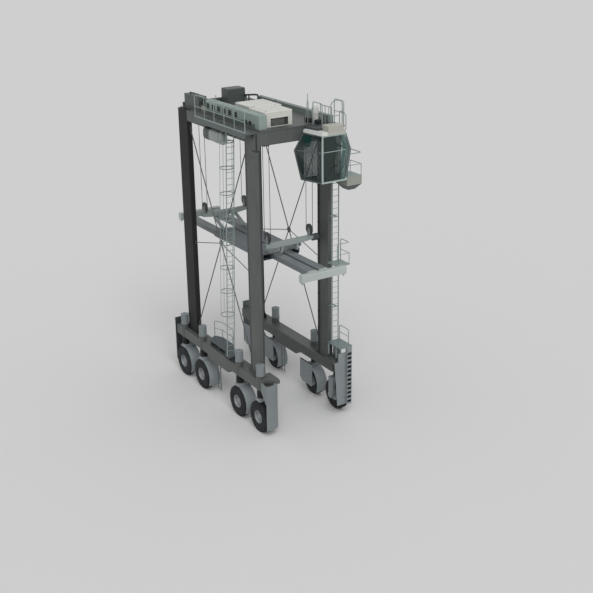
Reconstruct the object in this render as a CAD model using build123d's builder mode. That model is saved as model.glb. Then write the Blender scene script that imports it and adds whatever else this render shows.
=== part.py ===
from build123d import *
from math import cos, hypot, radians, sin
import os

os.makedirs("parts", exist_ok=True)

# Straddle carrier for shipping containers, in millimetres.
# +X is forward (the cab end), +Y is the left side, +Z is up, and the origin is
# on the ground under the middle of the wheelbase.

fit = 0.3                               # gap between pieces that are bolted or rest together

# Wheels and steering
axle_x = [3940, 1910, -1910, -3940]     # wheel positions from the front
wheel_y = 2250                          # half track, and kingpin distance
tyre_r = 800
tyre_w = 430
rim_r = 335
rim_w = 400
lip_t = 28
disc_t = 24
hub_r = 150
hub_bore_r = 62
axle_clear = 0.05                       # running clearance of the hub on its stub axle
rolling_clear = 40                      # tyre to leg, beside and above
steer_clear = 40                        # swept tyre to guards
kingpin_r = 100
kingpin_clear = 0.5
steer_r = hypot(tyre_r, tyre_w / 2)     # radius that a tyre sweeps round its kingpin

# Side beams
beam_in = 1700
beam_out = 2400
beam_top = 2750
beam_bottom = 2250
belly_bottom = 1980                     # deeper stretch between the wheel pairs
belly_half = 920
belly_run = 280                         # length of the slope to the belly
beam_end = 4640                         # rear end of the beams from the middle
beam_front = 4300
last_x = 4860                           # outermost guards from the middle
nose_x = 4800                           # tip of the nose
nose_t = 150                            # plate on the beam's top, out to the nose
nose_in = 1620
nose_tip = 90                           # width of the blunt tip
tow_eye_r = 35                          # bore for a tow pin through the nose plate
tow_eye = (4720, 1730)
boss_r = 205                            # bearing drum round each kingpin
collar_h = 250
housing_r = 205
housing_h = 540

# Columns and upper frame
column_x = 3270
column_w = 950
column_in = 1840
column_out = 2120
column_top = 14700
cross_depth = 650
cross_w = 900
top_beam_h = 550
deck_t = 60

# Hoist and spreader
lock_z = 8100                           # underside of the spreader on a container's top
head_x = 3100
head_w = 240
head_h = 250
head_z = 8950                           # underside of the head beams
sheave_y = 1180
sheave_r = 260
sheave_t = 70
rope_r = 13
lock_x = 5992.5                         # half the twistlock spacing at forty feet
lock_y = 1129.5

# Small sections
rail_r = 21
post_r = 17
post_pitch = 900
rail_h = 1080
rail_bend = 110
stile = 60
rung_r = 13
rung_pitch = 300
ladder_w = 400

column_mid = (column_in + column_out) / 2
column_face = column_x - column_w / 2   # the columns' faces towards the middle
column_front = column_x + column_w / 2
boss_top = beam_top + collar_h
housing_top = boss_top + housing_h
cross_bottom = column_top - cross_depth
floor_z = column_top + deck_t


def block(x0, x1, y0, y1, z0, z1, mode=Mode.ADD):
    """A box between two corners."""
    with Locations(((x0 + x1) / 2, (y0 + y1) / 2, (z0 + z1) / 2)):
        Box(abs(x1 - x0), abs(y1 - y0), abs(z1 - z0), mode=mode)


def bar(start, end, width, depth=None):
    """A straight rectangular bar from one point to another."""
    a, b = Vector(*start), Vector(*end)
    run = b - a
    side = Vector(0, 0, 1) if abs(run.Z) < 0.9 * run.length else Vector(1, 0, 0)
    with BuildSketch(Plane(origin=a, x_dir=run.cross(side), z_dir=run)) as section:
        Rectangle(width, depth or width)
    extrude(section.sketch, amount=run.length)


def pipe(points, radius, bend=0):
    """A tube along a line of points, six-sided to save faces, bent where they turn."""
    with BuildLine() as path:
        if len(points) > 2:
            FilletPolyline(*points, radius=bend)
        else:
            Line(*points)
    with BuildSketch(Plane(origin=path.line @ 0, z_dir=path.line % 0)) as section:
        RegularPolygon(radius, 6)
    sweep(section.sketch, path=path.line)


def railing(corners, floor, height=rail_h):
    """A handrail along corners in plan: bent end posts, a knee rail and posts between."""
    ends = [(*corners[0], floor), (*corners[-1], floor)]
    pipe([ends[0], *((x, y, floor + height) for x, y in corners), ends[1]], rail_r, rail_bend)
    for (x0, y0), (x1, y1) in zip(corners, corners[1:]):
        pipe([(x0, y0, floor + height / 2), (x1, y1, floor + height / 2)], post_r)
        count = max(1, round(hypot(x1 - x0, y1 - y0) / post_pitch))
        for i in range(1, count):
            x, y = x0 + (x1 - x0) * i / count, y0 + (y1 - y0) * i / count
            pipe([(x, y, floor), (x, y, floor + height)], post_r)
    for x, y in corners[1:-1]:
        pipe([(x, y, floor), (x, y, floor + height / 2 + post_r)], post_r)


def ladder(bottom, top):
    """Two stiles with rungs across, which run along Y."""
    (x0, y, z0), (x1, _, z1) = bottom, top
    for s in (-1, 1):
        bar((x0, y + s * ladder_w / 2, z0), (x1, y + s * ladder_w / 2, z1), 20, stile)
    count = round((z1 - z0) / rung_pitch)
    for i in range(1, count):
        x, z = x0 + (x1 - x0) * i / count, z0 + (z1 - z0) * i / count
        pipe([(x, y - ladder_w / 2, z), (x, y + ladder_w / 2, z)], rung_r)


def keep(piece, name):
    piece.part.label = name
    export_step(piece.part, f"parts/{name}.step")


# Side beams, with a bearing drum round each kingpin and a pointed nose plate

def side_beam(side):
    with BuildPart() as beam:
        with BuildSketch(Plane.XZ.offset(-side * (beam_in + beam_out) / 2)):
            with BuildLine():
                Polyline(
                    (-beam_end, beam_bottom), (-belly_half - belly_run, beam_bottom),
                    (-belly_half, belly_bottom), (belly_half, belly_bottom),
                    (belly_half + belly_run, beam_bottom), (beam_front, beam_bottom),
                    (beam_front, beam_top), (-beam_end, beam_top), close=True)
            make_face()
        extrude(amount=(beam_out - beam_in) / 2, both=True)
        long_edges = beam.edges().filter_by(Axis.X).group_by(Axis.Z)
        chamfer(long_edges[0] + long_edges[-1], 30)
        with BuildSketch(Plane.XY.offset(beam_top)):
            with BuildLine():
                Polyline((column_front + fit, side * nose_in), (nose_x - 260, side * nose_in),
                         (nose_x, side * (nose_in + 60)), (nose_x, side * (nose_in + 60 + nose_tip)),
                         (beam_front, side * beam_out), (column_front + fit, side * beam_out), close=True)
            make_face()
            fillet(vertices().group_by(Axis.X)[-1], 25)
        extrude(amount=nose_t)
        for x in axle_x:
            with BuildSketch(Plane.XY.offset(beam_bottom)):
                with Locations((x, side * wheel_y)):
                    Circle(boss_r)
            extrude(amount=boss_top - beam_bottom)
        for x in axle_x:
            with BuildSketch(Plane.XY.offset(beam_bottom)):
                with Locations((x, side * wheel_y)):
                    Circle(kingpin_r + kingpin_clear)
            extrude(amount=boss_top - beam_bottom, mode=Mode.SUBTRACT)
        with BuildSketch(Plane.XY.offset(beam_top)):
            with Locations((tow_eye[0], side * tow_eye[1])):
                Circle(tow_eye_r)
        extrude(amount=nose_t, mode=Mode.SUBTRACT)
    return beam


for side, word in ((-1, "right"), (1, "left")):
    keep(side_beam(side), f"side_beam_{word}")

with BuildPart() as leg_housings:
    for side in (-1, 1):
        for x in axle_x:
            with BuildSketch(Plane.XY.offset(boss_top)):
                with Locations((x, side * wheel_y)):
                    Circle(housing_r)
            extrude(amount=housing_h)
keep(leg_housings, "leg_housings")

# Columns: rounded box section, with a joint flange below the head of the front ones
flange_z = 13540
flange_t = 36
flange_proud = 14
for x_sign, end in ((1, "front"), (-1, "rear")):
    for side, word in ((-1, "right"), (1, "left")):
        with BuildPart() as column:
            centre = (x_sign * column_x, side * column_mid)
            with BuildSketch(Plane.XY.offset(beam_top)):
                with Locations(centre):
                    RectangleRounded(column_w, column_out - column_in, 40)
            extrude(amount=column_top - beam_top)
            if end == "front":
                with BuildSketch(Plane.XY.offset(flange_z)):
                    with Locations(centre):
                         RectangleRounded(column_w + 2 * flange_proud,
                                          column_out - column_in + 2 * flange_proud, 50)
                extrude(amount=flange_t)
        keep(column, f"column_{end}_{word}")

# Cross beams: the front one carries the cab's platform, the rear one a low parapet
cab_plate_x = 4560
cab_plate_y = (700, 2180)
cab_plate_t = 100
parapet_h = 240
cab_rear = column_front + 55
cab_top = 14450
with BuildPart() as cross_beam_front:
    block(column_x - cross_w / 2, column_x + cross_w / 2, -column_in, column_in, cross_bottom, column_top)
    chamfer(cross_beam_front.edges().filter_by(Axis.Y).group_by(Axis.Z)[0], 60)
    with BuildSketch(Plane.XY.offset(column_top - cab_plate_t)):
        with BuildLine():
            Polyline((column_x, cab_plate_y[0] - 300), (cab_plate_x, cab_plate_y[0]),
                     (cab_plate_x, cab_plate_y[1]), (column_front + 10, cab_plate_y[1]),
                     (column_front + 10, column_in), (column_x, column_in), close=True)
        make_face()
    extrude(amount=cab_plate_t)
    # webs under the platform
    for y in (cab_plate_y[0] + 60, column_in - 80):
        with BuildSketch(Plane.XZ.offset(-y)):
            with BuildLine():
                Polyline((column_x + cross_w / 2 - 20, column_top - cab_plate_t),
                         (cab_rear - 10, column_top - cab_plate_t), (cab_rear - 10, cab_top),
                         (column_x + cross_w / 2 - 20, cross_bottom + 60), close=True)
            make_face()
        extrude(amount=20)
keep(cross_beam_front, "cross_beam_front")

with BuildPart() as cross_beam_rear:
    block(-column_x - cross_w / 2, -column_x + cross_w / 2, -column_in, column_in, cross_bottom, column_top)
    chamfer(cross_beam_rear.edges().filter_by(Axis.Y).group_by(Axis.Z)[0], 60)
    block(-column_front, -column_x - cross_w / 2 + 60, -column_in, column_in,
          column_top - 60, column_top + parapet_h)
keep(cross_beam_rear, "cross_beam_rear")

# Top beams: the left one has a cable duct along it
duct_h = 320
for side, word in ((-1, "right"), (1, "left")):
    with BuildPart() as top_beam:
        block(-column_face, column_face, side * column_in, side * column_out,
              column_top - top_beam_h, column_top)
        chamfer(top_beam.edges().filter_by(Axis.X).group_by(Axis.Z)[0], 40)
        if side > 0:
            block(-column_face + 120, column_front, column_in + 20, column_out - 10,
                  column_top, column_top + duct_h)
    keep(top_beam, f"top_beam_{word}")

# Machinery on the upper frame
with BuildPart() as machinery_deck:
    block(-column_front + cross_w / 2 - column_w / 2 + 130, column_front, -column_in, column_in,
          column_top, floor_z)
keep(machinery_deck, "machinery_deck")

house_wall = 40
slat_count = 6
# the two boxes of the house: x0, x1, y0, y1, height
house_boxes = [(1860, 3300, -1300, 180, 690), (60, 1780, -1000, 560, 640)]
louvre = (-1010, -70, 30, 390)          # y0, y1 and height range above the floor
with BuildPart() as machine_house:
    for x0, x1, y0, y1, h in house_boxes:
        with BuildSketch(Plane.XY.offset(floor_z)):
            with Locations(((x0 + x1) / 2, (y0 + y1) / 2)):
                RectangleRounded(x1 - x0, y1 - y0, 60)
        extrude(amount=h)
        chamfer(machine_house.faces().filter_by_position(Axis.Z, floor_z + h, floor_z + h).edges(), 25)
    for x0, x1, y0, y1, h in house_boxes:
        block(x0 + house_wall, x1 - house_wall, y0 + house_wall, y1 - house_wall,
              floor_z, floor_z + h - house_wall, mode=Mode.SUBTRACT)
    # louvre in the front wall
    x1 = house_boxes[0][1]
    block(x1 - 2 * house_wall, x1 + 10, louvre[0], louvre[1], floor_z + louvre[2], floor_z + louvre[3],
          mode=Mode.SUBTRACT)
    for i in range(slat_count):
        z = floor_z + louvre[2] + (i + 0.5) * (louvre[3] - louvre[2]) / slat_count
        bar((x1 - house_wall / 2 - 10, louvre[0] - 5, z), (x1 - house_wall / 2 - 10, louvre[1] + 5, z), 34, 6)
keep(machine_house, "machine_house")

exhaust_at = (3420, 1330)
exhaust_r = 105
engine_h = 560
with BuildPart() as engine_block:
    block(2050, 3100, -950, -150, floor_z, floor_z + engine_h)
keep(engine_block, "engine_block")

# Hoist winches under the deck: two drums with flanges, each between hangers
winch_x = (-2080, -1180)
drum_r = 250
drum_half = 900
drum_z = column_top - 380
with BuildPart() as hoist_winch:
    for x in winch_x:
        for y0, y1, r in ((-drum_half - 60, drum_half + 60, drum_r),
                          (-drum_half, -drum_half + 40, drum_r + 70),
                          (drum_half - 40, drum_half, drum_r + 70)):
            with BuildSketch(Plane.XZ.offset(-y0)):
                with Locations((x, drum_z)):
                    Circle(r)
            extrude(amount=-(y1 - y0))
        for y in (-drum_half - 110, drum_half + 60):
            with BuildSketch(Plane.XZ.offset(-y)):
                with BuildLine():
                    Polyline((x - 260, column_top), (x + 260, column_top), (x + 110, drum_z - 110),
                             (x - 110, drum_z - 110), close=True)
                make_face()
            extrude(amount=-50)
        # gearbox at the right-hand end
        block(x - 190, x + 190, -drum_half - 430, -drum_half - 110, drum_z - 210, drum_z + 180)
keep(hoist_winch, "hoist_winch")

tank_x = (-380, 1030)
tank_r = 200
tank_z = 14050
with BuildPart() as fluid_tank:
    with BuildSketch(Plane.YZ.offset(tank_x[0])):
        with Locations((-column_out - tank_r - fit, tank_z)):
            SlotCenterToCenter(tank_r, 2 * tank_r, rotation=90)
    extrude(amount=tank_x[1] - tank_x[0])
    # straps
    for x in (tank_x[0] + 260, tank_x[1] - 320):
        with BuildSketch(Plane.YZ.offset(x)):
            with Locations((-column_out - tank_r - fit, tank_z)):
                SlotCenterToCenter(tank_r, 2 * tank_r + 24, rotation=90)
        extrude(amount=60)
    block(tank_x[0], tank_x[1], -column_out - fit, -column_in, tank_z - 400, column_top, mode=Mode.SUBTRACT)
keep(fluid_tank, "fluid_tank")

# Cabinets: beside the rear column heads, along the house, and on the rear beam
# x0, x1, y0, y1, height
cabinet_boxes = [(-3600, -2100, -1800, -1330, 640), (-3560, -2860, 280, 1290, 700),
                 (-260, 3560, -1760, -1345, 620)]
with BuildPart() as cabinets:
    for x0, x1, y0, y1, h in cabinet_boxes:
        block(x0, x1, y0, y1, floor_z, floor_z + h)
    chamfer(cabinets.edges().group_by(Axis.Z)[-1] + cabinets.edges().filter_by(Axis.Z), 25)
keep(cabinets, "cabinets")

# Walkway on the right, outside the top beam
walk_x = (-1050, 3700)
walk_w = 470
walk_z = column_top - 50
walk_out = column_out + walk_w
walk_t = 40
fascia = (-170, 140)                    # side plate of the walkway, below and above its floor
with BuildPart() as walkway_right:
    block(*walk_x, -walk_out, -column_out - fit, walk_z, walk_z + walk_t)
    block(*walk_x, -walk_out, -walk_out + 8, walk_z + fascia[0], walk_z + fascia[1])
    edge = -walk_out + rail_r + 8
    railing([(walk_x[0] + 30, edge), (walk_x[1] - 30, edge)], walk_z + walk_t)
    for x in (walk_x[0] + 200, 480, 2500, walk_x[1] - 200):
        with BuildSketch(Plane.YZ.offset(x)):
            with BuildLine():
                Polyline((-column_out - fit, walk_z), (-walk_out + 8, walk_z),
                         (-column_out - fit, walk_z - 260), close=True)
            make_face()
        extrude(amount=16)
keep(walkway_right, "walkway_right")

# Right-hand platform on the side beam, and the ladder with its cage
shelf_z = 3000
shelf_t = 50
right_foot = (1270, -column_out - ladder_w / 2 - 45)
cage_r = 330
cage_from = 5200
cage_pitch = 1250
with BuildPart() as ladder_right:
    top_x = 1960
    lean = (top_x - right_foot[0]) / (walk_z - shelf_z - shelf_t)
    foot_z = shelf_z + shelf_t + fit
    ladder((right_foot[0] - 20 * lean, right_foot[1], foot_z - 20),
           (top_x + 20 * lean, right_foot[1], walk_z + 20))
    block(right_foot[0] - 100, top_x + 100, right_foot[1] - ladder_w, right_foot[1] + ladder_w,
          foot_z, walk_z - fit, mode=Mode.INTERSECT)
    count = int((walk_z - 300 - cage_from) / cage_pitch) + 1
    for i in range(count):
        z = cage_from + i * cage_pitch
        x = right_foot[0] + (z - foot_z) * lean
        with BuildSketch(Plane.XY.offset(z)):
            with Locations((x - cage_r, right_foot[1])):
                RegularPolygon(cage_r + 8, 16)
                RegularPolygon(cage_r, 16, mode=Mode.SUBTRACT)
        extrude(amount=45)
    top_z = cage_from + (count - 1) * cage_pitch + 45
    for a in (100, 180, 260):
        dx, dy = -cage_r + cage_r * cos(radians(a)), cage_r * sin(radians(a))
        bar((right_foot[0] + (cage_from - foot_z) * lean + dx, right_foot[1] + dy, cage_from),
            (right_foot[0] + (top_z - foot_z) * lean + dx, right_foot[1] + dy, top_z), 16, 16)
keep(ladder_right, "ladder_right")

# Left-hand ladder in two flights, with a rest platform
rest_z = 7900
landing_z = 3650
left_x = 4090
left_y = 2000
with BuildPart() as ladder_left:
    ladder((left_x, left_y, rest_z), (left_x, left_y, 12180 - fit))
    ladder((left_x, left_y, landing_z + shelf_t + fit), (left_x, left_y, rest_z - shelf_t))
    block(column_front + fit, left_x + 460, column_in - 40, left_y + 560, rest_z - shelf_t, rest_z)
    railing([(column_front + 60, left_y + 530), (left_x + 430, left_y + 530), (left_x + 430, column_in - 10)],
            rest_z)
    # brackets to the column
    for z in (5600, 10200):
        for s in (-1, 1):
            block(column_front + fit, left_x, left_y + s * 100 - 10, left_y + s * 100 + 10, z, z + 60)
        block(left_x - 20, left_x, left_y - ladder_w / 2, left_y + ladder_w / 2, z, z + 60)
keep(ladder_left, "ladder_left")

# Platforms low down: on the right side beam, and at the front on the left, and the
# short ladder that hangs under each side beam
step_x = -760
step_half = 140
step_foot = 260
step_rows = 6
with BuildPart() as lower_platforms:
    with BuildSketch(Plane.XY.offset(shelf_z)):
        with BuildLine():
            Polyline((-1480, -1800), (-960, -1560), (110, -1560), (600, -1760), (1460, -1960),
                     (1460, -2570), (1080, -2570), (600, -2290), (-1060, -2290), close=True)
        make_face()
        fillet(vertices().group_by(Axis.X)[0], 140)
    extrude(amount=shelf_t)
    # cross webs down to the beam
    for x in (-1050, -200, 500):
        block(x, x + 40, -beam_out + 130, -beam_in - 60, beam_top + fit, shelf_z)
    block(1300, 1340, -2540, -2000, shelf_z - 100, shelf_z)
    block(1300, 1340, -beam_out + 60, -2000, beam_top + fit, shelf_z - 100)
    railing([(-1400, -1810), (-950, -1600), (90, -1600), (560, -1780)], shelf_z + shelf_t, 850)
    # short ladders
    for side in (-1, 1):
        for s in (-1, 1):
            x = step_x + s * step_half
            block(x - 15, x + 15, side * (column_mid - 20), side * (column_mid + 20),
                  step_foot, belly_bottom - fit)
        for i in range(step_rows):
            z = step_foot + 40 + i * rung_pitch
            pipe([(step_x - step_half, side * column_mid, z),
                  (step_x + step_half, side * column_mid, z)], rung_r)
    # landing over the front left wheel, on posts from the beam
    block(column_front + fit, last_x - fit, column_in - 60, beam_out + 130, landing_z, landing_z + shelf_t)
    for x in (column_front + 40, last_x - 420):
        block(x, x + 60, column_in - 40, column_in + 20, beam_top + nose_t + fit, landing_z)
    railing([(column_front + 40, beam_out + 100), (last_x - 290, beam_out + 100)], landing_z + shelf_t, 750)
keep(lower_platforms, "lower_platforms")

# Side bracing: round rods from a hub plate to lugs on the columns
hub_z = 8550
hub_plate_r = 170
# height on the column and rod radius
brace_rows = [(13900, 26), (7850, 20), (3300, 26)]
with BuildPart() as side_bracing:
    for side in (-1, 1):
        with BuildSketch(Plane.XZ.offset(-side * column_mid - 18)):
            with Locations((0, hub_z)):
                RegularPolygon(hub_plate_r, 6)
        extrude(amount=36)
        for z, r in brace_rows:
            for s in (-1, 1):
                end_x, end_z = column_face - 70, hub_z + (z - hub_z) * (1 - 70 / column_face)
                pipe([(s * 60, side * column_mid, hub_z + (z - hub_z) * 60 / column_face),
                      (s * end_x, side * column_mid, end_z)], r)
                # lug on the column
                with BuildSketch(Plane.XZ.offset(-side * column_mid - 15)):
                    with BuildLine():
                        Polyline((s * (column_face - fit), z - 110), (s * (column_face - fit), z + 110),
                                 (s * (end_x - 60), end_z + 55), (s * (end_x - 60), end_z - 55), close=True)
                    make_face()
                extrude(amount=30)
keep(side_bracing, "side_bracing")

# Guards in front of and behind the end wheels
guard_t = 30
guard_low = 400
guard_top = beam_top - fit
guard_gap = steer_r + steer_clear
with BuildPart() as wheel_guards:
    # curved guard at the front on the right, round the steered wheel
    with BuildSketch(Plane.XY.offset(guard_low)):
        with BuildLine():
            CenterArc((axle_x[0], -wheel_y), guard_gap, -14, 46)
            CenterArc((axle_x[0], -wheel_y), guard_gap + guard_t, -14, 46)
            for a in (-14, 32):
                Line((axle_x[0] + guard_gap * cos(radians(a)), -wheel_y + guard_gap * sin(radians(a))),
                     (axle_x[0] + (guard_gap + guard_t) * cos(radians(a)),
                      -wheel_y + (guard_gap + guard_t) * sin(radians(a))))
        make_face()
    extrude(amount=guard_top - guard_low)
    # its shoulder, back to the beam
    shoulder_x = axle_x[0] + (guard_gap + guard_t / 2) * cos(radians(-12))
    shoulder_y = -wheel_y + (guard_gap + guard_t / 2) * sin(radians(-12))
    with BuildSketch(Plane.XZ.offset(-shoulder_y)):
        with BuildLine():
            Polyline((beam_front + fit, guard_top), (shoulder_x, guard_top),
                     (shoulder_x, 2 * tyre_r + 150), (shoulder_x - 120, 2 * tyre_r + 150),
                     (beam_front + fit, beam_bottom), close=True)
        make_face()
    extrude(amount=-12)
    block(beam_front + fit, beam_front + 20, shoulder_y, -beam_out + 120, beam_bottom, guard_top)
    # rear guards on arms from the beams
    for side in (-1, 1):
        block(-last_x, -last_x + guard_t, side * 1880, side * 2400, 600, 3050)
        for z in (beam_bottom + 40, beam_top - 120):
            block(-last_x + guard_t, -beam_end - fit, side * 1950, side * 2200, z, z + 60)
keep(wheel_guards, "wheel_guards")

step_count = 12
step_pitch = 235
step_low = 620
step_y = 2250
step_w = 230
step_depth = 150
with BuildPart() as step_guard:
    with BuildSketch(Plane.YZ.offset(last_x - 30 + guard_t)):
        with BuildLine():
            Polyline((1430, 3000), (1620, step_low), (2110, step_low), (2110, 3000), close=True)
        make_face()
    extrude(amount=guard_t)
    block(last_x, last_x + step_depth, 2110, 2390, step_low, landing_z + shelf_t)
    for i in range(step_count):
        z = step_low + 100 + i * step_pitch
        block(last_x + 12, last_x + step_depth + 1, step_y - step_w / 2, step_y + step_w / 2,
              z, z + 130, mode=Mode.SUBTRACT)
    block(last_x, last_x + guard_t, 1660, 2110, 2700, landing_z - 200)
keep(step_guard, "step_guard_left")

# Cab: faceted, widest at the knee
cab_front = 5050
cab_wall = 50
cab_floor = 12240
cab_knee = 13680
# height, then the corners in plan: front right, rear right, rear left, front left
cab_levels = [
    (cab_floor, (cab_front, 600), (cab_rear, 260), (cab_rear, 1970), (cab_front, 1970)),
    (cab_knee, (cab_front, 600), (cab_rear, -110), (cab_rear, 2210), (cab_front, 2210)),
    (cab_top, (cab_front, 600), (cab_rear, 420), (cab_rear, 1930), (cab_front, 1930)),
]


def cab_body(inset):
    """The faceted cab, with every face moved inwards by the inset."""
    with BuildPart(mode=Mode.PRIVATE) as body:
        for low, high in ((0, 1), (1, 2)):
            for level in (low, high):
                z, *corners = cab_levels[level]
                lift = inset * (1, 0, -1)[level]
                with BuildSketch(Plane.XY.offset(z + lift)):
                    with BuildLine():
                        Polyline(*corners, close=True)
                    make_face()
                    if inset:
                        offset(amount=-inset, kind=Kind.INTERSECTION, mode=Mode.REPLACE)
            loft(ruled=True)
    return body.part


frame_w = 45                            # width of the posts and rails round the panes
door_rear = 3880
door_front = 4560
door_gap = 6
door_run = 30
door_z = (cab_floor + 90, cab_top - 150)
pane_low = cab_floor + frame_w + 30
pane_high = cab_top - frame_w - 20
with BuildPart() as cab_windows:
    # right side, in two panes one above the other
    with BuildSketch(Plane.XZ.offset(500)):
        for z0, z1 in ((pane_low, cab_knee - frame_w / 2), (cab_knee + frame_w / 2, pane_high)):
            with Locations(((cab_rear + cab_front) / 2, (z0 + z1) / 2)):
                Rectangle(cab_front - cab_rear - 2 * frame_w, z1 - z0)
    extrude(amount=-1400)
    # front, in two panes
    with BuildSketch(Plane.YZ.offset(cab_front - 300)):
        with BuildLine():
            Polyline((675, pane_low), (1880, pane_low), (2100, cab_knee), (1840, pane_high), (675, pane_high),
                     close=True)
        make_face()
        with Locations((1400, cab_knee)):
            Rectangle(1600, frame_w * 0.6, mode=Mode.SUBTRACT)
    extrude(amount=600)
    # rear, towards the load
    with BuildSketch(Plane.YZ.offset(cab_rear - 200)):
        with BuildLine():
            Polyline((420, pane_low), (1700, pane_low), (1700, 13980), (420, 13980), close=True)
        make_face()
    extrude(amount=400)
    # left side, in front of the door
    block(door_front + 90, cab_front - frame_w, 1700, 2500, pane_low, cab_knee - frame_w / 2)
    block(door_front + 90, cab_front - frame_w, 1700, 2500, cab_knee + frame_w / 2, pane_high)

# door hinges: pins on the shell, barrels on the door, at the knee where the wall is furthest out
hinge_r = 12
barrel_r = 24
hinge_y = 2210 + barrel_r + 8
hinge_x = door_front + 2
hinge_rows = [(cab_knee - 200, cab_knee - 120), (cab_knee + 60, cab_knee + 140)]
with BuildPart() as cab_shell:
    add(cab_body(0))
    add(cab_body(cab_wall), mode=Mode.SUBTRACT)
    add(cab_windows.part, mode=Mode.SUBTRACT)
    block(door_rear - door_gap, door_front + door_gap, 1700, 2400, door_z[0] - door_gap, door_z[1] + door_gap,
          mode=Mode.SUBTRACT)
    for z0, z1 in hinge_rows:
        for low, high in ((z0 - 34, z0 - 2), (z1 + 2, z1 + 34)):
            block(hinge_x + 14, hinge_x + 60, 2140, hinge_y, low, high)
            with BuildSketch(Plane.XY.offset(low)):
                with Locations((hinge_x, hinge_y)):
                    Circle(barrel_r)
                with Locations((hinge_x + 30, hinge_y)):
                    Rectangle(60, 2 * barrel_r)
            extrude(amount=high - low)
        with BuildSketch(Plane.XY.offset(z0 - 10)):
            with Locations((hinge_x, hinge_y)):
                Circle(hinge_r)
        extrude(amount=z1 - z0 + 20)
keep(cab_shell, "cab_shell")

with BuildPart() as cab_glass:
    add(cab_body(18))
    add(cab_body(30), mode=Mode.SUBTRACT)
    add(cab_windows.part, mode=Mode.INTERSECT)
keep(cab_glass, "cab_glass")

with BuildPart() as cab_door:
    add(cab_body(0))
    add(cab_body(cab_wall), mode=Mode.SUBTRACT)
    # the rear edge runs back from the knee, so that it swings clear of its jamb
    with BuildSketch(Plane.XZ.offset(-1700)):
        with BuildLine():
            Polyline((door_rear, cab_knee), (door_rear + door_run, door_z[0]), (door_front, door_z[0]),
                     (door_front, door_z[1]), (door_rear + door_run, door_z[1]), close=True)
        make_face()
    extrude(amount=-700, mode=Mode.INTERSECT)
    for z0, z1 in ((door_z[0] + 90, cab_knee - 60), (cab_knee + 60, door_z[1] - 80)):
        block(door_rear + 90, door_front - 90, 1700, 2400, z0, z1, mode=Mode.SUBTRACT)
    for z0, z1 in hinge_rows:
        block(hinge_x - 90, hinge_x, 2140, hinge_y + 6, z0, z1)
        with BuildSketch(Plane.XY.offset(z0)):
            with Locations((hinge_x, hinge_y)):
                Circle(barrel_r)
        extrude(amount=z1 - z0)
        with BuildSketch(Plane.XY.offset(z0)):
            with Locations((hinge_x, hinge_y)):
                Circle(hinge_r + fit)
        extrude(amount=z1 - z0, mode=Mode.SUBTRACT)
keep(cab_door, "cab_door")

seat_z = cab_floor + cab_wall
with BuildPart() as cab_seat:
    # pedestal, cushion and back
    block(4120, 4380, 1120, 1380, seat_z, seat_z + 320)
    with BuildSketch(Plane.XY.offset(seat_z + 320)):
        with Locations((4250, 1250)):
            RectangleRounded(520, 500, 80)
    extrude(amount=120)
    with BuildSketch(Plane.XZ.offset(-1010)):
        with BuildLine():
            Polyline((3990, seat_z + 400), (4110, seat_z + 400), (4040, seat_z + 1120), (3950, seat_z + 1120),
                     close=True)
        make_face()
    extrude(amount=-480)
    # control desk, sloped towards the driver
    with BuildSketch(Plane.XZ.offset(-900)):
        with BuildLine():
            Polyline((4700, seat_z), (4880, seat_z), (4930, seat_z + 820), (4640, seat_z + 700), close=True)
        make_face()
    extrude(amount=-700)
keep(cab_seat, "cab_seat")

roof_t = column_top - cab_plate_t - cab_top
with BuildPart() as cab_roof:
    with BuildSketch(Plane.XY.offset(cab_top)):
        with BuildLine():
            Polyline((cab_rear, 395), (cab_front + 25, 575), (cab_front + 25, 1955), (cab_rear, 1955),
                     close=True)
        make_face()
    extrude(amount=roof_t - fit, taper=12)
    # air conditioner on the front edge
    ac = (cab_plate_x + 20, cab_front, 950, 1780)
    block(*ac, cab_top + 20, cab_top + 420)
    chamfer(cab_roof.edges().group_by(Axis.Z)[-1], 30)
keep(cab_roof, "cab_roof")

# Balcony beside the cab: floor plate, panelled box and tapered skirt
balcony_in = 2250
balcony_out = 3100
balcony_x = (column_front + 15, 4690)
floor_t = 60
with BuildPart() as balcony:
    block(balcony_x[0], balcony_x[1], 1700, balcony_out, cab_floor - floor_t, cab_floor - fit)
    block(*balcony_x, balcony_in, balcony_out, 11820, cab_floor - floor_t)
    centre = (sum(balcony_x) / 2, (balcony_in + balcony_out) / 2)
    with BuildSketch(Plane.XY.offset(11820)):
        with Locations(centre):
            Rectangle(balcony_x[1] - balcony_x[0], balcony_out - balcony_in)
    with BuildSketch(Plane.XY.offset(11550)):
        with Locations(centre):
            Rectangle(460, 380)
    loft(ruled=True)
    railing([(balcony_x[0] + 30, balcony_in + 60), (balcony_x[0] + 30, balcony_out - 25),
             (balcony_x[1] - 25, balcony_out - 25), (balcony_x[1] - 25, balcony_in + 60)], cab_floor - fit)
keep(balcony, "balcony")

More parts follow.
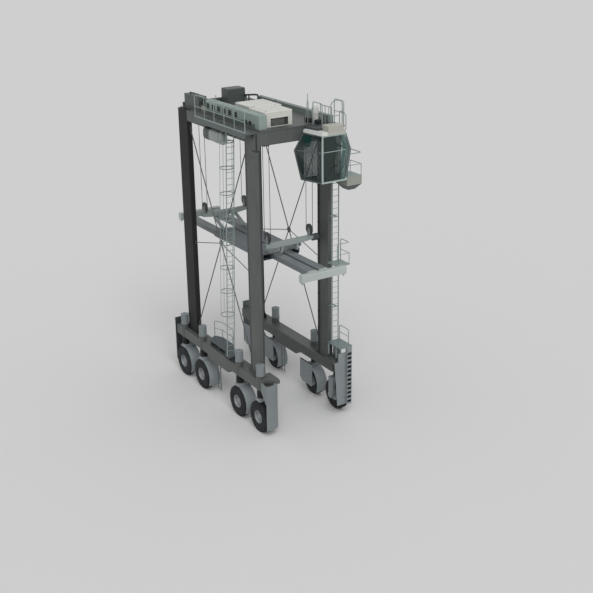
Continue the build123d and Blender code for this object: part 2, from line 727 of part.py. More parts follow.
# Rails, exhaust and mast on the platform over the cab
with BuildPart() as service_rails:
    for y in (cab_plate_y[1] - 30, cab_plate_y[0] + 260):
        railing([(column_front + 40, y), (cab_plate_x - 30, y)], column_top)
    pipe([(cab_plate_x - 60, 1460, column_top), (cab_plate_x - 60, 1460, column_top + rail_h + 60),
          (cab_plate_x - 60, 2090, column_top + rail_h + 60), (cab_plate_x - 60, 2090, column_top)],
         rail_r, 2 * rail_bend)
    for a, b in (((3330, 820), (3450, 900)), ((3570, 820), (3450, 900)), ((3450, 1010), (3450, 900))):
        pipe([(*a, floor_z + 2), (*b, floor_z + 1150)], 12)
    pipe([(3450, 900, floor_z + 1100), (3450, 900, floor_z + 1330)], 16)
    pipe([(-860, -1500, floor_z), (-860, -1500, floor_z + 900)], 20)
    with BuildSketch(Plane.XY.offset(floor_z)):
        with Locations(exhaust_at):
            Circle(exhaust_r)
    extrude(amount=760)
    with BuildSketch(Plane.XY.offset(floor_z + 760)):
        with Locations(exhaust_at):
            Circle(exhaust_r)
    with BuildSketch(Plane.XY.offset(floor_z + 840)):
        with Locations(exhaust_at):
            Circle(55)
    loft()
keep(service_rails, "service_rails")

# Spreader: a fixed frame of four tubes, in which the arms of both end beams slide
main_z0 = 8125
arm_w = 440
arm_h = 250
arm_clear = 6
tube_wall = 16
tube_w = arm_w + 2 * (arm_clear + tube_wall)
tube_h = arm_h + 2 * (arm_clear + tube_wall)
inner_y = 300                            # tubes of the front arms, with those of the rear arms outside them
tube_y = [inner_y, inner_y + tube_w]
tube_half = 2400
arm_in = 1900                            # how far from the middle the arms reach inwards
frame_half_y = 1100
end_w = 300
end_half_y = 1219
end_h = 330
lug_y = 620
gusset_run = 350
main_top = main_z0 + tube_h
with BuildPart() as spreader_frame:
    for side in (-1, 1):
        with BuildSketch(Plane.YZ.offset(-tube_half)):
            for y in tube_y:
                with Locations((side * y, main_z0 + tube_h / 2)):
                    Rectangle(tube_w, tube_h)
            for y in tube_y:
                with Locations((side * y, main_z0 + tube_h / 2)):
                    Rectangle(tube_w - 2 * tube_wall, tube_h - 2 * tube_wall, mode=Mode.SUBTRACT)
        extrude(amount=2 * tube_half)
    # cross boxes between the tubes
    for x in (-tube_half + 130, 0, tube_half - 130):
        block(x - 120, x + 120, -tube_y[0] + tube_w / 2, tube_y[0] - tube_w / 2, main_z0 + 40, main_top - 20)
    # shoulders at both ends, tapered in plan
    for s in (-1, 1):
        for side in (-1, 1):
            edge = side * (tube_y[1] + tube_w / 2)
            with BuildSketch(Plane.XY.offset(main_z0 + 30)):
                with BuildLine():
                    Polyline((s * 1150, edge), (s * 1750, side * frame_half_y),
                              (s * (tube_half - 60), side * frame_half_y), (s * (tube_half - 60), edge),
                              close=True)
                make_face()
            extrude(amount=tube_h - 60)
    # brackets up to the head beams
    for s in (-1, 1):
        for side in (-1, 1):
            with BuildSketch(Plane.XZ.offset(-side * lug_y - 20)):
                with BuildLine():
                    Polyline((s * (tube_half - 650), main_top), (s * (tube_half - 10), main_top),
                             (s * (head_x + head_w / 2), head_z - 130), (s * (head_x + head_w / 2), head_z),
                             (s * (head_x - head_w / 2 - 60), head_z), close=True)
                make_face()
            extrude(amount=40)
    # runner pads at the tube mouths, under and over the arms
    for s, y_arm in ((1, tube_y[0]), (-1, tube_y[1])):
        for side in (-1, 1):
            for z in (main_z0 + tube_wall, main_top - tube_wall - arm_clear + fit):
                block(s * (tube_half - 150), s * tube_half, side * y_arm - arm_w / 3, side * y_arm + arm_w / 3,
                      z, z + arm_clear - fit)
keep(spreader_frame, "spreader_frame")

sheave_z = head_z + head_h + sheave_r + 60
head_half = sheave_y + 160
head_mid = 620                          # middle stretch, from which the beam tapers up to its ends
head_rise = 90
motor_r = 170
with BuildPart() as head_beams:
    for s in (-1, 1):
        with BuildSketch(Plane.YZ.offset(s * head_x - head_w / 2)):
            with BuildLine():
                Polyline((-head_half, head_z + head_rise), (-head_mid, head_z), (head_mid, head_z),
                         (head_half, head_z + head_rise), (head_half, head_z + head_h),
                         (-head_half, head_z + head_h), close=True)
            make_face()
        extrude(amount=head_w)
    chamfer(head_beams.edges().filter_by(Axis.Y), 20)
    for s in (-1, 1):
        for side in (-1, 1):
            # sheave, between two cheeks
            with BuildSketch(Plane.XZ.offset(-side * sheave_y - sheave_t / 2)):
                with Locations((s * head_x, sheave_z)):
                    Circle(sheave_r)
            extrude(amount=sheave_t)
            for dy in (-sheave_t / 2 - 12, sheave_t / 2):
                with BuildSketch(Plane.XZ.offset(-side * sheave_y - dy - 12)):
                    with BuildLine():
                         Polyline((s * head_x - 130, head_z + head_h - 10),
                                  (s * head_x + 130, head_z + head_h - 10),
                                  (s * head_x + 60, sheave_z + 70), (s * head_x - 60, sheave_z + 70),
                                  close=True)
                    make_face()
                extrude(amount=12)
            # bracket that hangs under the head beam
            with BuildSketch(Plane.XZ.offset(-side * (lug_y - 180) - 45)):
                with Locations((s * head_x, head_z - 120)):
                    SlotCenterToCenter(240, 200, rotation=90)
            extrude(amount=90)
    # drive at the left end of the front head beam
    with BuildSketch(Plane.XZ.offset(-head_half)):
        with Locations((head_x, head_z + head_h / 2)):
            Circle(motor_r)
    extrude(amount=-300)
keep(head_beams, "head_beams")

for s, end, y_arm in ((1, "front", tube_y[0]), (-1, "rear", tube_y[1])):
    with BuildPart() as spreader_end:
        mid_z = main_z0 + tube_h / 2
        beam_z0 = lock_z + 60
        block(s * (lock_x - end_w / 2), s * (lock_x + end_w / 2), -end_half_y, end_half_y,
              beam_z0, beam_z0 + end_h)
        chamfer(spreader_end.edges().filter_by(Axis.Y).group_by(Axis.Z)[-1], 25)
        for side in (-1, 1):
            block(s * arm_in, s * (lock_x - end_w / 2), side * y_arm - arm_w / 2, side * y_arm + arm_w / 2,
                  mid_z - arm_h / 2, mid_z + arm_h / 2)
            # runner pads at the inner end of the arm
            for z in (mid_z - arm_h / 2 - arm_clear + fit, mid_z + arm_h / 2):
                block(s * arm_in, s * (arm_in + 150), side * y_arm - arm_w / 3, side * y_arm + arm_w / 3,
                      z, z + arm_clear - fit)
            # gusset between arm and end beam, tapered in plan
            with BuildSketch(Plane.XY.offset(mid_z - 60)):
                with BuildLine():
                    Polyline((s * (lock_x - end_w / 2 - gusset_run), side * (y_arm + arm_w / 2)),
                             (s * (lock_x - end_w / 2), side * (end_half_y - 120)),
                             (s * (lock_x - end_w / 2), side * (y_arm + arm_w / 2)), close=True)
                make_face()
            extrude(amount=140)
            # corner foot and twistlock
            block(s * (lock_x - 85), s * (lock_x + 85), side * (lock_y - 80), side * (lock_y + 80),
                  lock_z, beam_z0)
            with BuildSketch(Plane.XY.offset(lock_z - 30)):
                with Locations((s * lock_x, side * lock_y)):
                    Circle(26)
            extrude(amount=30)
            with BuildSketch(Plane.XY.offset(lock_z - 30)):
                with Locations((s * lock_x, side * lock_y)):
                    SlotCenterToCenter(54, 50)
            extrude(amount=-70, taper=18)
    keep(spreader_end, f"spreader_end_{end}")

with BuildPart() as hoist_ropes:
    for s in (-1, 1):
        for side in (-1, 1):
            for d in (-1, 1):
                x = s * head_x + d * (sheave_r + rope_r + fit)
                block(x - rope_r, x + rope_r, side * sheave_y - rope_r, side * sheave_y + rope_r,
                      sheave_z, cross_bottom)
keep(hoist_ropes, "hoist_ropes")

# Wheels and their legs
leg_top = 2 * tyre_r + rolling_clear
leg_plate = 130
flange_r = 190
bellows_r = 165
tyre_in = wheel_y - tyre_w / 2
arm_out = tyre_in - rolling_clear
arm_t = 145
arm_half = 190
arm_face = arm_out - arm_t
mud_clear = 65                          # tread to mudguard
mud_t = 25
mud_out = 2425
mud_arc = (-28, 115)                    # from below the front of the tyre over its top, in degrees
plate_t = 40
plate_x = (-740, 360)                   # inner plate, from the axle
plate_z = (580, 1850)
plate_clip = 190
pin_boss_r = 175                        # round hub on the inner side of the front legs


def leg_of(x, side, front):
    """A wheel's leg: kingpin, top plate, arm with the stub axle, and the mudguard behind the front wheels."""
    with BuildPart() as leg:
        # kingpin with the bellows round its lower end
        for z, height, shape in ((leg_top + leg_plate, 40, "flange"),
                                 (leg_top + leg_plate + 40, beam_bottom - 100 - leg_top - leg_plate, "bellows"),
                                 (leg_top + leg_plate, boss_top - 40 - leg_top - leg_plate, "kingpin")):
            with BuildSketch(Plane.XY.offset(z)):
                with Locations((x, side * wheel_y)):
                    if shape == "bellows":
                        RegularPolygon(bellows_r, 12)
                    else:
                        Circle(flange_r if shape == "flange" else kingpin_r)
            extrude(amount=height)
        # top plate, over the tyre
        block(x - arm_half, x + arm_half, side * arm_face, side * (wheel_y + arm_half),
              leg_top, leg_top + leg_plate)
        # arm down the inner side
        with BuildSketch(Plane.XZ.offset(-side * arm_face)):
            with BuildLine():
                a = Line((x - arm_half, leg_top + leg_plate), (x + arm_half, leg_top + leg_plate))
                b = Line(a @ 1, (x + arm_half, tyre_r + 120))
                c = Line(b @ 1, (x + 150, tyre_r))
                d = ThreePointArc(c @ 1, (x, tyre_r - 150), (x - 150, tyre_r))
                e = Line(d @ 1, (x - arm_half, tyre_r + 120))
                Line(e @ 1, a @ 0)
            make_face()
        extrude(amount=-side * arm_t)
        if front:
            with BuildSketch(Plane.XZ.offset(-side * (arm_face - plate_t))):
                with Locations((x, tyre_r)):
                    Circle(pin_boss_r)
            extrude(amount=-side * plate_t)
        else:
            # inner plate with clipped lower corners
            with BuildSketch(Plane.XZ.offset(-side * (arm_face - plate_t))):
                with BuildLine():
                    Polyline((x + plate_x[0], plate_z[1]), (x + plate_x[1], plate_z[1]),
                             (x + plate_x[1], plate_z[0]), (x + plate_x[0] + plate_clip, plate_z[0]),
                             (x + plate_x[0], plate_z[0] + plate_clip), close=True)
                make_face()
                fillet(vertices().group_by(Axis.Y)[-1], 60)
            extrude(amount=-side * plate_t)
            # mudguard round the tread
            with BuildSketch(Plane.XZ.offset(-side * (arm_face - plate_t))):
                with BuildLine():
                    inner = CenterArc((x, tyre_r), tyre_r + mud_clear, mud_arc[0], mud_arc[1] - mud_arc[0])
                    outer = CenterArc((x, tyre_r), tyre_r + mud_clear + mud_t,
                                      mud_arc[0], mud_arc[1] - mud_arc[0])
                    Line(inner @ 0, outer @ 0)
                    Line(inner @ 1, outer @ 1)
                make_face()
            extrude(amount=-side * (mud_out - arm_face + plate_t))
        # stub axle
        with BuildSketch(Plane.XZ.offset(-side * arm_out)):
            with Locations((x, tyre_r)):
                Circle(hub_bore_r - axle_clear)
        extrude(amount=-side * (wheel_y + 60 - arm_out))
    return leg


for side, word in ((-1, "r"), (1, "l")):
    for i, x in enumerate(axle_x, start=1):
        keep(leg_of(x, side, i == 1), f"leg_{word}{i}")
        with BuildPart() as rim:
            # half section of the rim, disc and hub, turned round the axle
            with BuildSketch(Plane.YZ.offset(x)):
                with BuildLine():
                    y0, y1 = wheel_y - rim_w / 2, wheel_y + rim_w / 2
                    disc = wheel_y + 20
                    hub_in, hub_out = arm_out + 25, wheel_y + 130
                    points = [
                        (y0, rim_r - lip_t), (y0, rim_r), (y1, rim_r), (y1, rim_r - lip_t),
                        (disc + disc_t, rim_r - lip_t), (disc + disc_t, hub_r), (hub_out, hub_r), (hub_out, 0),
                        (wheel_y + 70, 0), (wheel_y + 70, hub_bore_r), (hub_in, hub_bore_r), (hub_in, hub_r),
                        (disc, hub_r), (disc, rim_r - lip_t)]
                    Polyline(*((side * y, tyre_r + r) for y, r in points), close=True)
                make_face()
            revolve(axis=Axis((x, 0, tyre_r), (0, 1, 0)))
        keep(rim, f"rim_{word}{i}")
        with BuildPart() as tyre:
            with BuildSketch(Plane.YZ.offset(x)):
                with Locations((side * wheel_y, tyre_r + rim_r)):
                    Rectangle(tyre_w, tyre_r - rim_r, align=(Align.CENTER, Align.MIN))
            revolve(axis=Axis((x, 0, tyre_r), (0, 1, 0)))
        keep(tyre, f"tyre_{word}{i}")
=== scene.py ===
"""Looks of an eight-wheeled straddle carrier: finishes, fine pieces, studio and camera."""

import logging
import math
from dataclasses import dataclass
from enum import Enum

import bpy
from mathutils import Matrix, Vector


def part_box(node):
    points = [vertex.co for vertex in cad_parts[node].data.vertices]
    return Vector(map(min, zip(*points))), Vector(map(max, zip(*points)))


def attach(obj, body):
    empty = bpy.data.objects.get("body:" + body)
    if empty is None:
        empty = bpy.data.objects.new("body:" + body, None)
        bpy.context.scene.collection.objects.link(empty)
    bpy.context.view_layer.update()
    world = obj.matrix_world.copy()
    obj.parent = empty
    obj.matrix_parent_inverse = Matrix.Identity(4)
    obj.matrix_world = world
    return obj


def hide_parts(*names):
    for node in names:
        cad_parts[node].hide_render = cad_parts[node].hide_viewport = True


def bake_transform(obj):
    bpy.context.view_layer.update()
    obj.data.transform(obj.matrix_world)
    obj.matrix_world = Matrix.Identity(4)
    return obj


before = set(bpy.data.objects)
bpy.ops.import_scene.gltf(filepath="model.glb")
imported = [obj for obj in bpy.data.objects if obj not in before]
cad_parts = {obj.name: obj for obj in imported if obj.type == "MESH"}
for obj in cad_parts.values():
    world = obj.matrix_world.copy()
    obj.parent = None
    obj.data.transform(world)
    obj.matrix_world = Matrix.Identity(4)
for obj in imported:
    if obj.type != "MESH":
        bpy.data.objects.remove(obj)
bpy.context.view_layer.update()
log = logging.getLogger("straddle_carrier")

Point = tuple[float, float, float]
Profile = list[tuple[float, float]]     # radius and height of each ring
Obj = bpy.types.Object
Tree = bpy.types.NodeTree
Socket = bpy.types.NodeSocket
Colour = tuple[float, float, float, float]

# names of the ends and sides, with their signs along X and Y
ENDS = (("front", 1), ("rear", -1))
SIDES = (("right", -1), ("left", 1))
WHEELS = tuple(f"{side}{number}" for side in "rl" for number in (1, 2, 3, 4))

# heights of the faces that fittings stand on, 2 mm above the steel, in metres
BEAM_TOP = 2.752
PLATFORM = 14.702
DECK = 14.762


# Helpers for colours and nodes


def linear(code: str) -> Colour:
    """Turn an sRGB hex colour into linear values.

    Args:
        code: Six hex digits, with or without a leading hash.

    Returns:
        Red, green, blue and an alpha of one.
    """
    digits = code.lstrip("#")
    channels = [int(digits[i:i + 2], 16) / 255 for i in (0, 2, 4)]
    red, green, blue = (c / 12.92 if c <= 0.04045 else ((c + 0.055) / 1.055) ** 2.4
                        for c in channels)
    return red, green, blue, 1.0


def add_node(tree: Tree, kind: str, inputs: dict | None = None, **settings) -> bpy.types.Node:
    """Add one node with its settings and its links.

    Args:
        tree: Node tree to add to.
        kind: Blender's type name of the node.
        inputs: Values or sockets to connect, by input name or number.
        **settings: Attributes to set on the node.

    Returns:
        The new node.
    """
    made = tree.nodes.new(kind)
    for name, value in settings.items():
        setattr(made, name, value)
    for key, value in (inputs or {}).items():
        if isinstance(value, Socket):
            tree.links.new(value, made.inputs[key])
        else:
            made.inputs[key].default_value = value
    return made


def fresh_material(name: str) -> tuple[bpy.types.Material, Tree, bpy.types.Node, Socket]:
    """Start a material with its shader.

    Args:
        name: Name of the material.

    Returns:
        The material, its node tree, its principled shader and the object coordinates.
    """
    material = bpy.data.materials.new(name)
    material.use_nodes = True
    tree = material.node_tree
    place = add_node(tree, "ShaderNodeTexCoord").outputs["Object"]
    return material, tree, tree.nodes["Principled BSDF"], place


def noise(tree: Tree, place: Socket, scale: float, detail: float, rough: float = 0.5) -> Socket:
    """Add a noise texture.

    Args:
        tree: Node tree of the material.
        place: Coordinates.
        scale: Waves in a metre.
        detail: Number of finer octaves.
        rough: Strength of each finer octave.

    Returns:
        The noise from zero to one.
    """
    made = add_node(tree, "ShaderNodeTexNoise", {
        "Vector": place, "Scale": scale, "Detail": detail, "Roughness": rough})
    return made.outputs["Fac"]


def ramp(tree: Tree, factor: Socket, low: float, high: float, dark: tuple, light: tuple) -> Socket:
    """Add a colour ramp that runs from one colour to another.

    Args:
        tree: Node tree of the material.
        factor: Value that picks the colour.
        low: Position of the first colour.
        high: Position of the second colour.
        dark: First colour.
        light: Second colour.

    Returns:
        The ramp's colour.
    """
    made = add_node(tree, "ShaderNodeValToRGB", {"Fac": factor})
    stops = made.color_ramp.elements
    stops[0].position, stops[0].color = low, dark
    stops[1].position, stops[1].color = high, light
    return made.outputs["Color"]


def gloss(tree: Tree, shader: bpy.types.Node, value: Socket, low: float, high: float) -> None:
    """Let the roughness follow a value.

    Args:
        tree: Node tree of the material.
        shader: Its shader.
        value: Value from zero to one.
        low: Roughness at zero.
        high: Roughness at one.
    """
    made = add_node(tree, "ShaderNodeMapRange", {"Value": value, "To Min": low, "To Max": high})
    tree.links.new(made.outputs["Result"], shader.inputs["Roughness"])


def relief(tree: Tree, shader: bpy.types.Node, height: Socket, strength: float,
           distance: float) -> None:
    """Add fine relief.

    Args:
        tree: Node tree of the material.
        shader: Its shader.
        height: Height from zero to one.
        strength: Strength of the effect.
        distance: Height of the relief in metres.
    """
    made = add_node(tree, "ShaderNodeBump", {
        "Height": height, "Strength": strength, "Distance": distance})
    tree.links.new(made.outputs["Normal"], shader.inputs["Normal"])


def mixed(tree: Tree, factor: float | Socket, first: Colour | Socket,
          second: Colour | Socket) -> Socket:
    """Mix two colours.

    Args:
        tree: Node tree of the material.
        factor: Share of the second colour.
        first: Colour or socket.
        second: Colour or socket.

    Returns:
        The mixed colour's socket.
    """
    mix = add_node(tree, "ShaderNodeMix", {"Factor": factor}, data_type="RGBA")
    for name, value in (("A", first), ("B", second)):
        socket = next(s for s in mix.inputs if s.name == name and s.type == "RGBA")
        if isinstance(value, Socket):
            tree.links.new(value, socket)
        else:
            socket.default_value = value
    return next(s for s in mix.outputs if s.type == "RGBA")


# Finishes


@dataclass(frozen=True)
class Zone:
    """A box of the machine that carries another colour than the rest of its node."""

    low: Point
    high: Point
    colour: str

    def mask(self, tree: Tree, place: Socket) -> Socket:
        """Make a mask that is one inside the box.

        Args:
            tree: Node tree of the material.
            place: Object coordinates.

        Returns:
            The mask's socket.
        """
        axes = add_node(tree, "ShaderNodeSeparateXYZ", {"Vector": place})
        mask = None
        for axis, low, high in zip("XYZ", self.low, self.high):
            near = add_node(tree, "ShaderNodeMath", {
                0: axes.outputs[axis], 1: (low + high) / 2, 2: (high - low) / 2},
                operation="COMPARE").outputs[0]
            mask = near if mask is None else add_node(
                tree, "ShaderNodeMath", {0: mask, 1: near}, operation="MULTIPLY").outputs[0]
        return mask


@dataclass(frozen=True)
class Paint:
    """Sprayed paint on welded steel plate: satin, with faint clouds, run-off streaks and dust."""

    name: str
    base: str
    dust: str
    zones: tuple[Zone, ...] = ()
    roughness: float = 0.42
    streaks: float = 0.35
    cloud_m: float = 1.6
    streak_m: float = 0.16
    peel_mm: float = 6.0

    def material(self) -> bpy.types.Material:
        """Build the material.

        Returns:
            The finished material.
        """
        material, tree, shader, place = fresh_material(self.name)
        clouds = noise(tree, place, 1 / self.cloud_m, 5.0, 0.6)
        # run-off is drawn out down the steel, eight times as long as it is wide
        stretch = add_node(tree, "ShaderNodeMapping", {"Vector": place, "Scale": (1.0, 1.0, 0.12)})
        runs = noise(tree, stretch.outputs["Vector"], 1 / self.streak_m, 3.0)
        run_mask = ramp(tree, runs, 0.52, 0.78, (0, 0, 0, 1), (self.streaks,) * 3 + (1,))
        cloud_mask = ramp(tree, clouds, 0.38, 0.72, linear(self.base), linear(self.dust))
        colour = mixed(tree, 0.28, linear(self.base), cloud_mask)
        colour = mixed(tree, run_mask, colour, linear(self.dust))
        for zone in self.zones:
            shade = mixed(tree, 0.85, colour, linear(zone.colour))
            colour = mixed(tree, zone.mask(tree, place), colour, shade)
        tree.links.new(colour, shader.inputs["Base Color"])
        gloss(tree, shader, clouds, self.roughness - 0.07, self.roughness + 0.12)
        relief(tree, shader, noise(tree, place, 1000 / self.peel_mm, 2.0), 0.12, 0.002)
        return material


@dataclass(frozen=True)
class Rubber:
    """Vulcanised tyre rubber: near black and matt, greyed by dust on its high spots."""

    name: str = "tyre rubber"
    base: str = "#111417"
    dust: str = "#282B2E"
    grit_mm: float = 9.0

    def material(self) -> bpy.types.Material:
        """Build the material.

        Returns:
            The finished material.
        """
        material, tree, shader, place = fresh_material(self.name)
        patches = noise(tree, place, 3.2, 5.0)
        colour = ramp(tree, patches, 0.42, 0.74, linear(self.base), linear(self.dust))
        tree.links.new(colour, shader.inputs["Base Color"])
        shader.inputs["Roughness"].default_value = 0.82
        relief(tree, shader, noise(tree, place, 1000 / self.grit_mm, 4.0), 0.3, 0.003)
        return material


@dataclass(frozen=True)
class TintedGlass:
    """Laminated safety glass: clear grey at the sides; painted shade of the dark cab inside makes
    it darker and greener in front and overhead, and painted light of the background seen through
    lightens the front pane's right third.
    """

    name: str = "tinted laminated glass"
    tint: str = "#2E3A3A"
    smear: str = "#52605E"
    clear: float = 0.42
    # zones of painted light and shade, and how dense each is: the dark cab inside showing through
    # the front pane's left part, the bright background seen through its right third, and a darker,
    # greener patch at the upper rear of the right side
    painted_light_and_shade: tuple[tuple[Zone, float], ...] = (
        (Zone((4.90, 0.3, 12.2), (5.10, 1.66, 14.5), "#0C2823"), 0.76),
        (Zone((4.90, 1.66, 12.2), (5.10, 2.3, 14.5), "#52726D"), 0.46),
        (Zone((3.70, 0.3, 13.72), (4.36, 0.8, 14.5), "#0F3A33"), 0.80),
    )

    def material(self) -> bpy.types.Material:
        """Build the material.

        Returns:
            The finished material.
        """
        material, tree, shader, place = fresh_material(self.name)
        smears = noise(tree, place, 1.3, 3.0)
        colour = ramp(tree, smears, 0.40, 0.75, linear(self.tint), linear(self.smear))
        density = self.clear
        for zone, dense in self.painted_light_and_shade:
            mask = zone.mask(tree, place)
            colour = mixed(tree, mask, colour, linear(zone.colour))
            density = add_node(tree, "ShaderNodeMix", {
                "Factor": mask, "A": density, "B": dense}).outputs[0]
        tree.links.new(colour, shader.inputs["Base Color"])
        tree.links.new(density, shader.inputs["Alpha"])
        shader.inputs["Roughness"].default_value = 0.06
        shader.inputs["IOR"].default_value = 1.52
        shader.inputs["Coat Weight"].default_value = 0.4
        material.surface_render_method = "BLENDED"
        return material


@dataclass(frozen=True)
class Steel:
    """Bare or galvanised steel: metallic, with a fine spangle and darker grease in patches."""

    name: str
    base: str
    grease: str
    roughness: float = 0.38
    grain_mm: float = 14.0

    def material(self) -> bpy.types.Material:
        """Build the material.

        Returns:
            The finished material.
        """
        material, tree, shader, place = fresh_material(self.name)
        spangle = add_node(tree, "ShaderNodeTexVoronoi", {
            "Vector": place, "Scale": 1000 / self.grain_mm})
        patches = noise(tree, place, 4.0, 4.0)
        colour = ramp(tree, patches, 0.45, 0.70, linear(self.base), linear(self.grease))
        tree.links.new(colour, shader.inputs["Base Color"])
        shader.inputs["Metallic"].default_value = 0.75
        gloss(tree, shader, spangle.outputs["Distance"],
              self.roughness - 0.06, self.roughness + 0.14)
        return material


@dataclass(frozen=True)
class SeatCloth:
    """Woven seat cloth in near black, over foam."""

    name: str = "woven seat cloth"
    base: str = "#1F2022"
    thread: str = "#35373A"
    thread_mm: float = 5.0

    def material(self) -> bpy.types.Material:
        """Build the material.

        Returns:
            The finished material.
        """
        material, tree, shader, place = fresh_material(self.name)
        weave = add_node(tree, "ShaderNodeTexChecker", {
            "Vector": place, "Scale": 1000 / self.thread_mm,
            "Color1": linear(self.base), "Color2": linear(self.thread)})
        tree.links.new(weave.outputs["Color"], shader.inputs["Base Color"])
        shader.inputs["Roughness"].default_value = 0.9
        shader.inputs["Sheen Weight"].default_value = 0.25
        relief(tree, shader, weave.outputs["Fac"], 0.2, 0.001)
        return material


WIDE = 20.0                             # past every face of the machine, in metres


def band(low: float, high: float, colour: str) -> Zone:
    """Return the zone between two heights.

    Args:
        low: Lower height in metres.
        high: Upper height in metres.
        colour: Colour inside.

    Returns:
        The zone.
    """
    return Zone((-WIDE, -WIDE, low), (WIDE, WIDE, high), colour)


# colours of a paint and of the dust on it
CHARCOAL = ("#4C504F", "#666A69")
WHITE = ("#CDCEC8", "#B2B1A7")
GREY_GREEN = ("#84938F", "#A0A9A5")
SHEAVE_BLACK = "#1B1D1F"


class Coat(Enum):
    """Finishes on the machine, by the place that each is used."""

    FRAME = Paint("charcoal frame paint", *CHARCOAL)
    COLUMN = Paint("charcoal frame paint, shaded at the corners", *CHARCOAL, (
        # the two darker strips are painted shade along the column's edges
        Zone((-WIDE, -2.2, 2.9), (2.98, -2.10, 13.88), "#323536"),
        Zone((3.70, -1.95, 2.9), (3.8, -1.8, 13.88), "#2E3132")))
    # near black: the charcoal frame paint darkened as painted shade over the rear columns and their
    # gussets
    FRAME_REAR = Paint("charcoal frame paint, rear", "#0B0C0D", "#191B1C",
                       roughness=0.6, streaks=0.1)
    PLATFORM_BEAM = Paint("charcoal frame paint with a dark platform", *CHARCOAL, (
        Zone((3.73, -1, 14.58), (5, 3, 14.8), "#3E4244"),))
    DUCT_BEAM = Paint("charcoal frame paint with a pale duct", *CHARCOAL, (
        band(14.705, 15.5, "#78847F"),))
    LEG = Paint("grey running-gear paint", "#82898D", "#9DA2A1", (band(1.812, 2.3, "#1D1F21"),))
    RIM = Paint("grey rim paint", "#868C8F", "#A2A49F")
    GUARD = Paint("grey guard paint, dark at the near rear", "#737A7D", "#8F9491", (
        Zone((-6, -3, 0), (-4.4, 0, 4), "#26292B"),), streaks=0.25)
    HOUSING = Paint("grey housing paint", "#757D80", "#919693", streaks=0.2)
    STEPS = Paint("grey guard paint with dark steps", "#7A8184", "#969B98", (
        # the step recesses are painted near black: painted shade inside them
        Zone((4.86, 2.13, 0.6), (5.005, 2.37, 3.69), "#1B1D1F"),), streaks=0.25)
    HOUSE = Paint("white house paint", *WHITE, roughness=0.34, streaks=0.2)
    HOUSE_NODE = Paint("white house paint with a grey louvre", *WHITE, (
        Zone((3.1, -1.02, 14.78), (3.296, -0.06, 15.16), "#73776F"),), roughness=0.34, streaks=0.2)
    RAIL = Paint("grey-green rail paint", *GREY_GREEN, streaks=0.15)
    WALKWAY = Paint("grey-green rail paint on a dark walkway", "#8B9A96", "#A6AFAB", (
        Zone((-1.4, -2.7, 14.4), (3.9, -2.0, 14.74), "#434C4B"),), streaks=0.15)
    CABINET = Paint("grey-green cabinet paint over a dark plinth", "#84958F", "#A3ABA6", (
        Zone((-WIDE, -WIDE, 10), (-2.0, WIDE, WIDE), "#383B3C"),
        Zone((-1.5, -1.80, 14.7), (3.2, -1.74, 14.97), "#4E5B59")), streaks=0.2)
    TANK = Paint("light grey tank paint, dark at the rear", "#8F9795", "#ABAFAB", (
        Zone((-0.5, -2.6, 13.6), (0.18, -2.0, 14.5), "#3A3F40"),), streaks=0.3)
    TAN = Paint("warm grey box paint", "#86847D", "#A19E96", streaks=0.3)
    PLATFORMS = Paint("grey-green rail paint with dark floors", *GREY_GREEN, (
        band(2.7, 3.055, "#242D36"), band(3.62, 3.705, "#6B787B"), band(0.0, 2.0, "#5A6361")),
        streaks=0.15)
    BALCONY = Paint("cream balcony box over a dark skirt", *GREY_GREEN, (
        # the dark band under the cream box is painted shade on the box's tapered skirt, which faces
        # down
        Zone((3, 2.24, 11.822), (6, 4, 12.235), "#94968C"), band(11, 11.822, "#35383A")),
        streaks=0.15)
    SERVICE = Paint("grey-green rails and a white stack", *GREY_GREEN, (
        Zone((3.2, 1.1, 14.7), (3.6, 1.5, 16), "#DCDEDB"),), streaks=0.15)
    ROOF = Paint("pale roof with a cream cooling unit", "#C9CDC9", "#D6D6CF", (
        Zone((4.57, 0.9, 14.46), (5.2, 1.9, 15), "#A2A297"),), roughness=0.34, streaks=0.15)
    SPREADER_END = Paint("pale end beams on dark arms", "#A9B2B0", "#BFC4BF", (
        Zone((-5.49, -WIDE, 8), (5.49, WIDE, 9), "#62696D"),))
    SPREADER_FRAME = Paint("dark spreader beams under pale brackets", "#656C71", "#7C8285", (
        band(8.425, 9.2, "#A3ADAB"),))
    HEAD_BEAM = Paint("pale head beams with black sheaves", "#8C9796", "#A5ABA7", (
        Zone((-WIDE, 1.144, 9.205), (WIDE, 1.216, 10), SHEAVE_BLACK),
        Zone((-WIDE, -1.216, 9.205), (WIDE, -1.144, 10), SHEAVE_BLACK),
        Zone((2.8, 1.335, 8.7), (3.4, 1.7, 9.4), "#2B2E30")))
    MACHINE = Paint("grey machinery paint", "#767F7E", "#8E9492")
    DARK = Paint("dark machinery paint", "#2E3132", "#45494A", roughness=0.48, streaks=0.2)
    BLACK = Paint("black satin paint", "#1E2022", "#35383A", roughness=0.5, streaks=0.15)
    CAB_FRAME = Paint("pale cab frame paint, dark at the back", "#A4B3B0", "#8E9C99", (
        Zone((3, -1, 12.0), (5.035, 3, 15), "#3A4244"),
        Zone((4.9, 1.9, 12.36), (5.1, 3, 15), "#4A5355")), roughness=0.3, streaks=0.1)
    RUBBER = Rubber()
    GLASS = TintedGlass()
    ROPE = Steel("greased rope wire", "#4A4D4F", "#26282A", roughness=0.5)
    ZINC = Steel("galvanised steel", "#9DA3A4", "#7D8283")
    SEAT = SeatCloth()


class Coats:
    """The materials, each made once when it is first asked for."""

    def __init__(self) -> None:
        """Start with no material made."""
        self._made: dict[Coat, bpy.types.Material] = {}

    def get(self, coat: Coat) -> bpy.types.Material:
        """Return the material of a finish.

        Args:
            coat: Finish that is asked for.

        Returns:
            Its material.
        """
        if coat not in self._made:
            self._made[coat] = coat.value.material()
        return self._made[coat]


coats = Coats()


# Modelling helpers


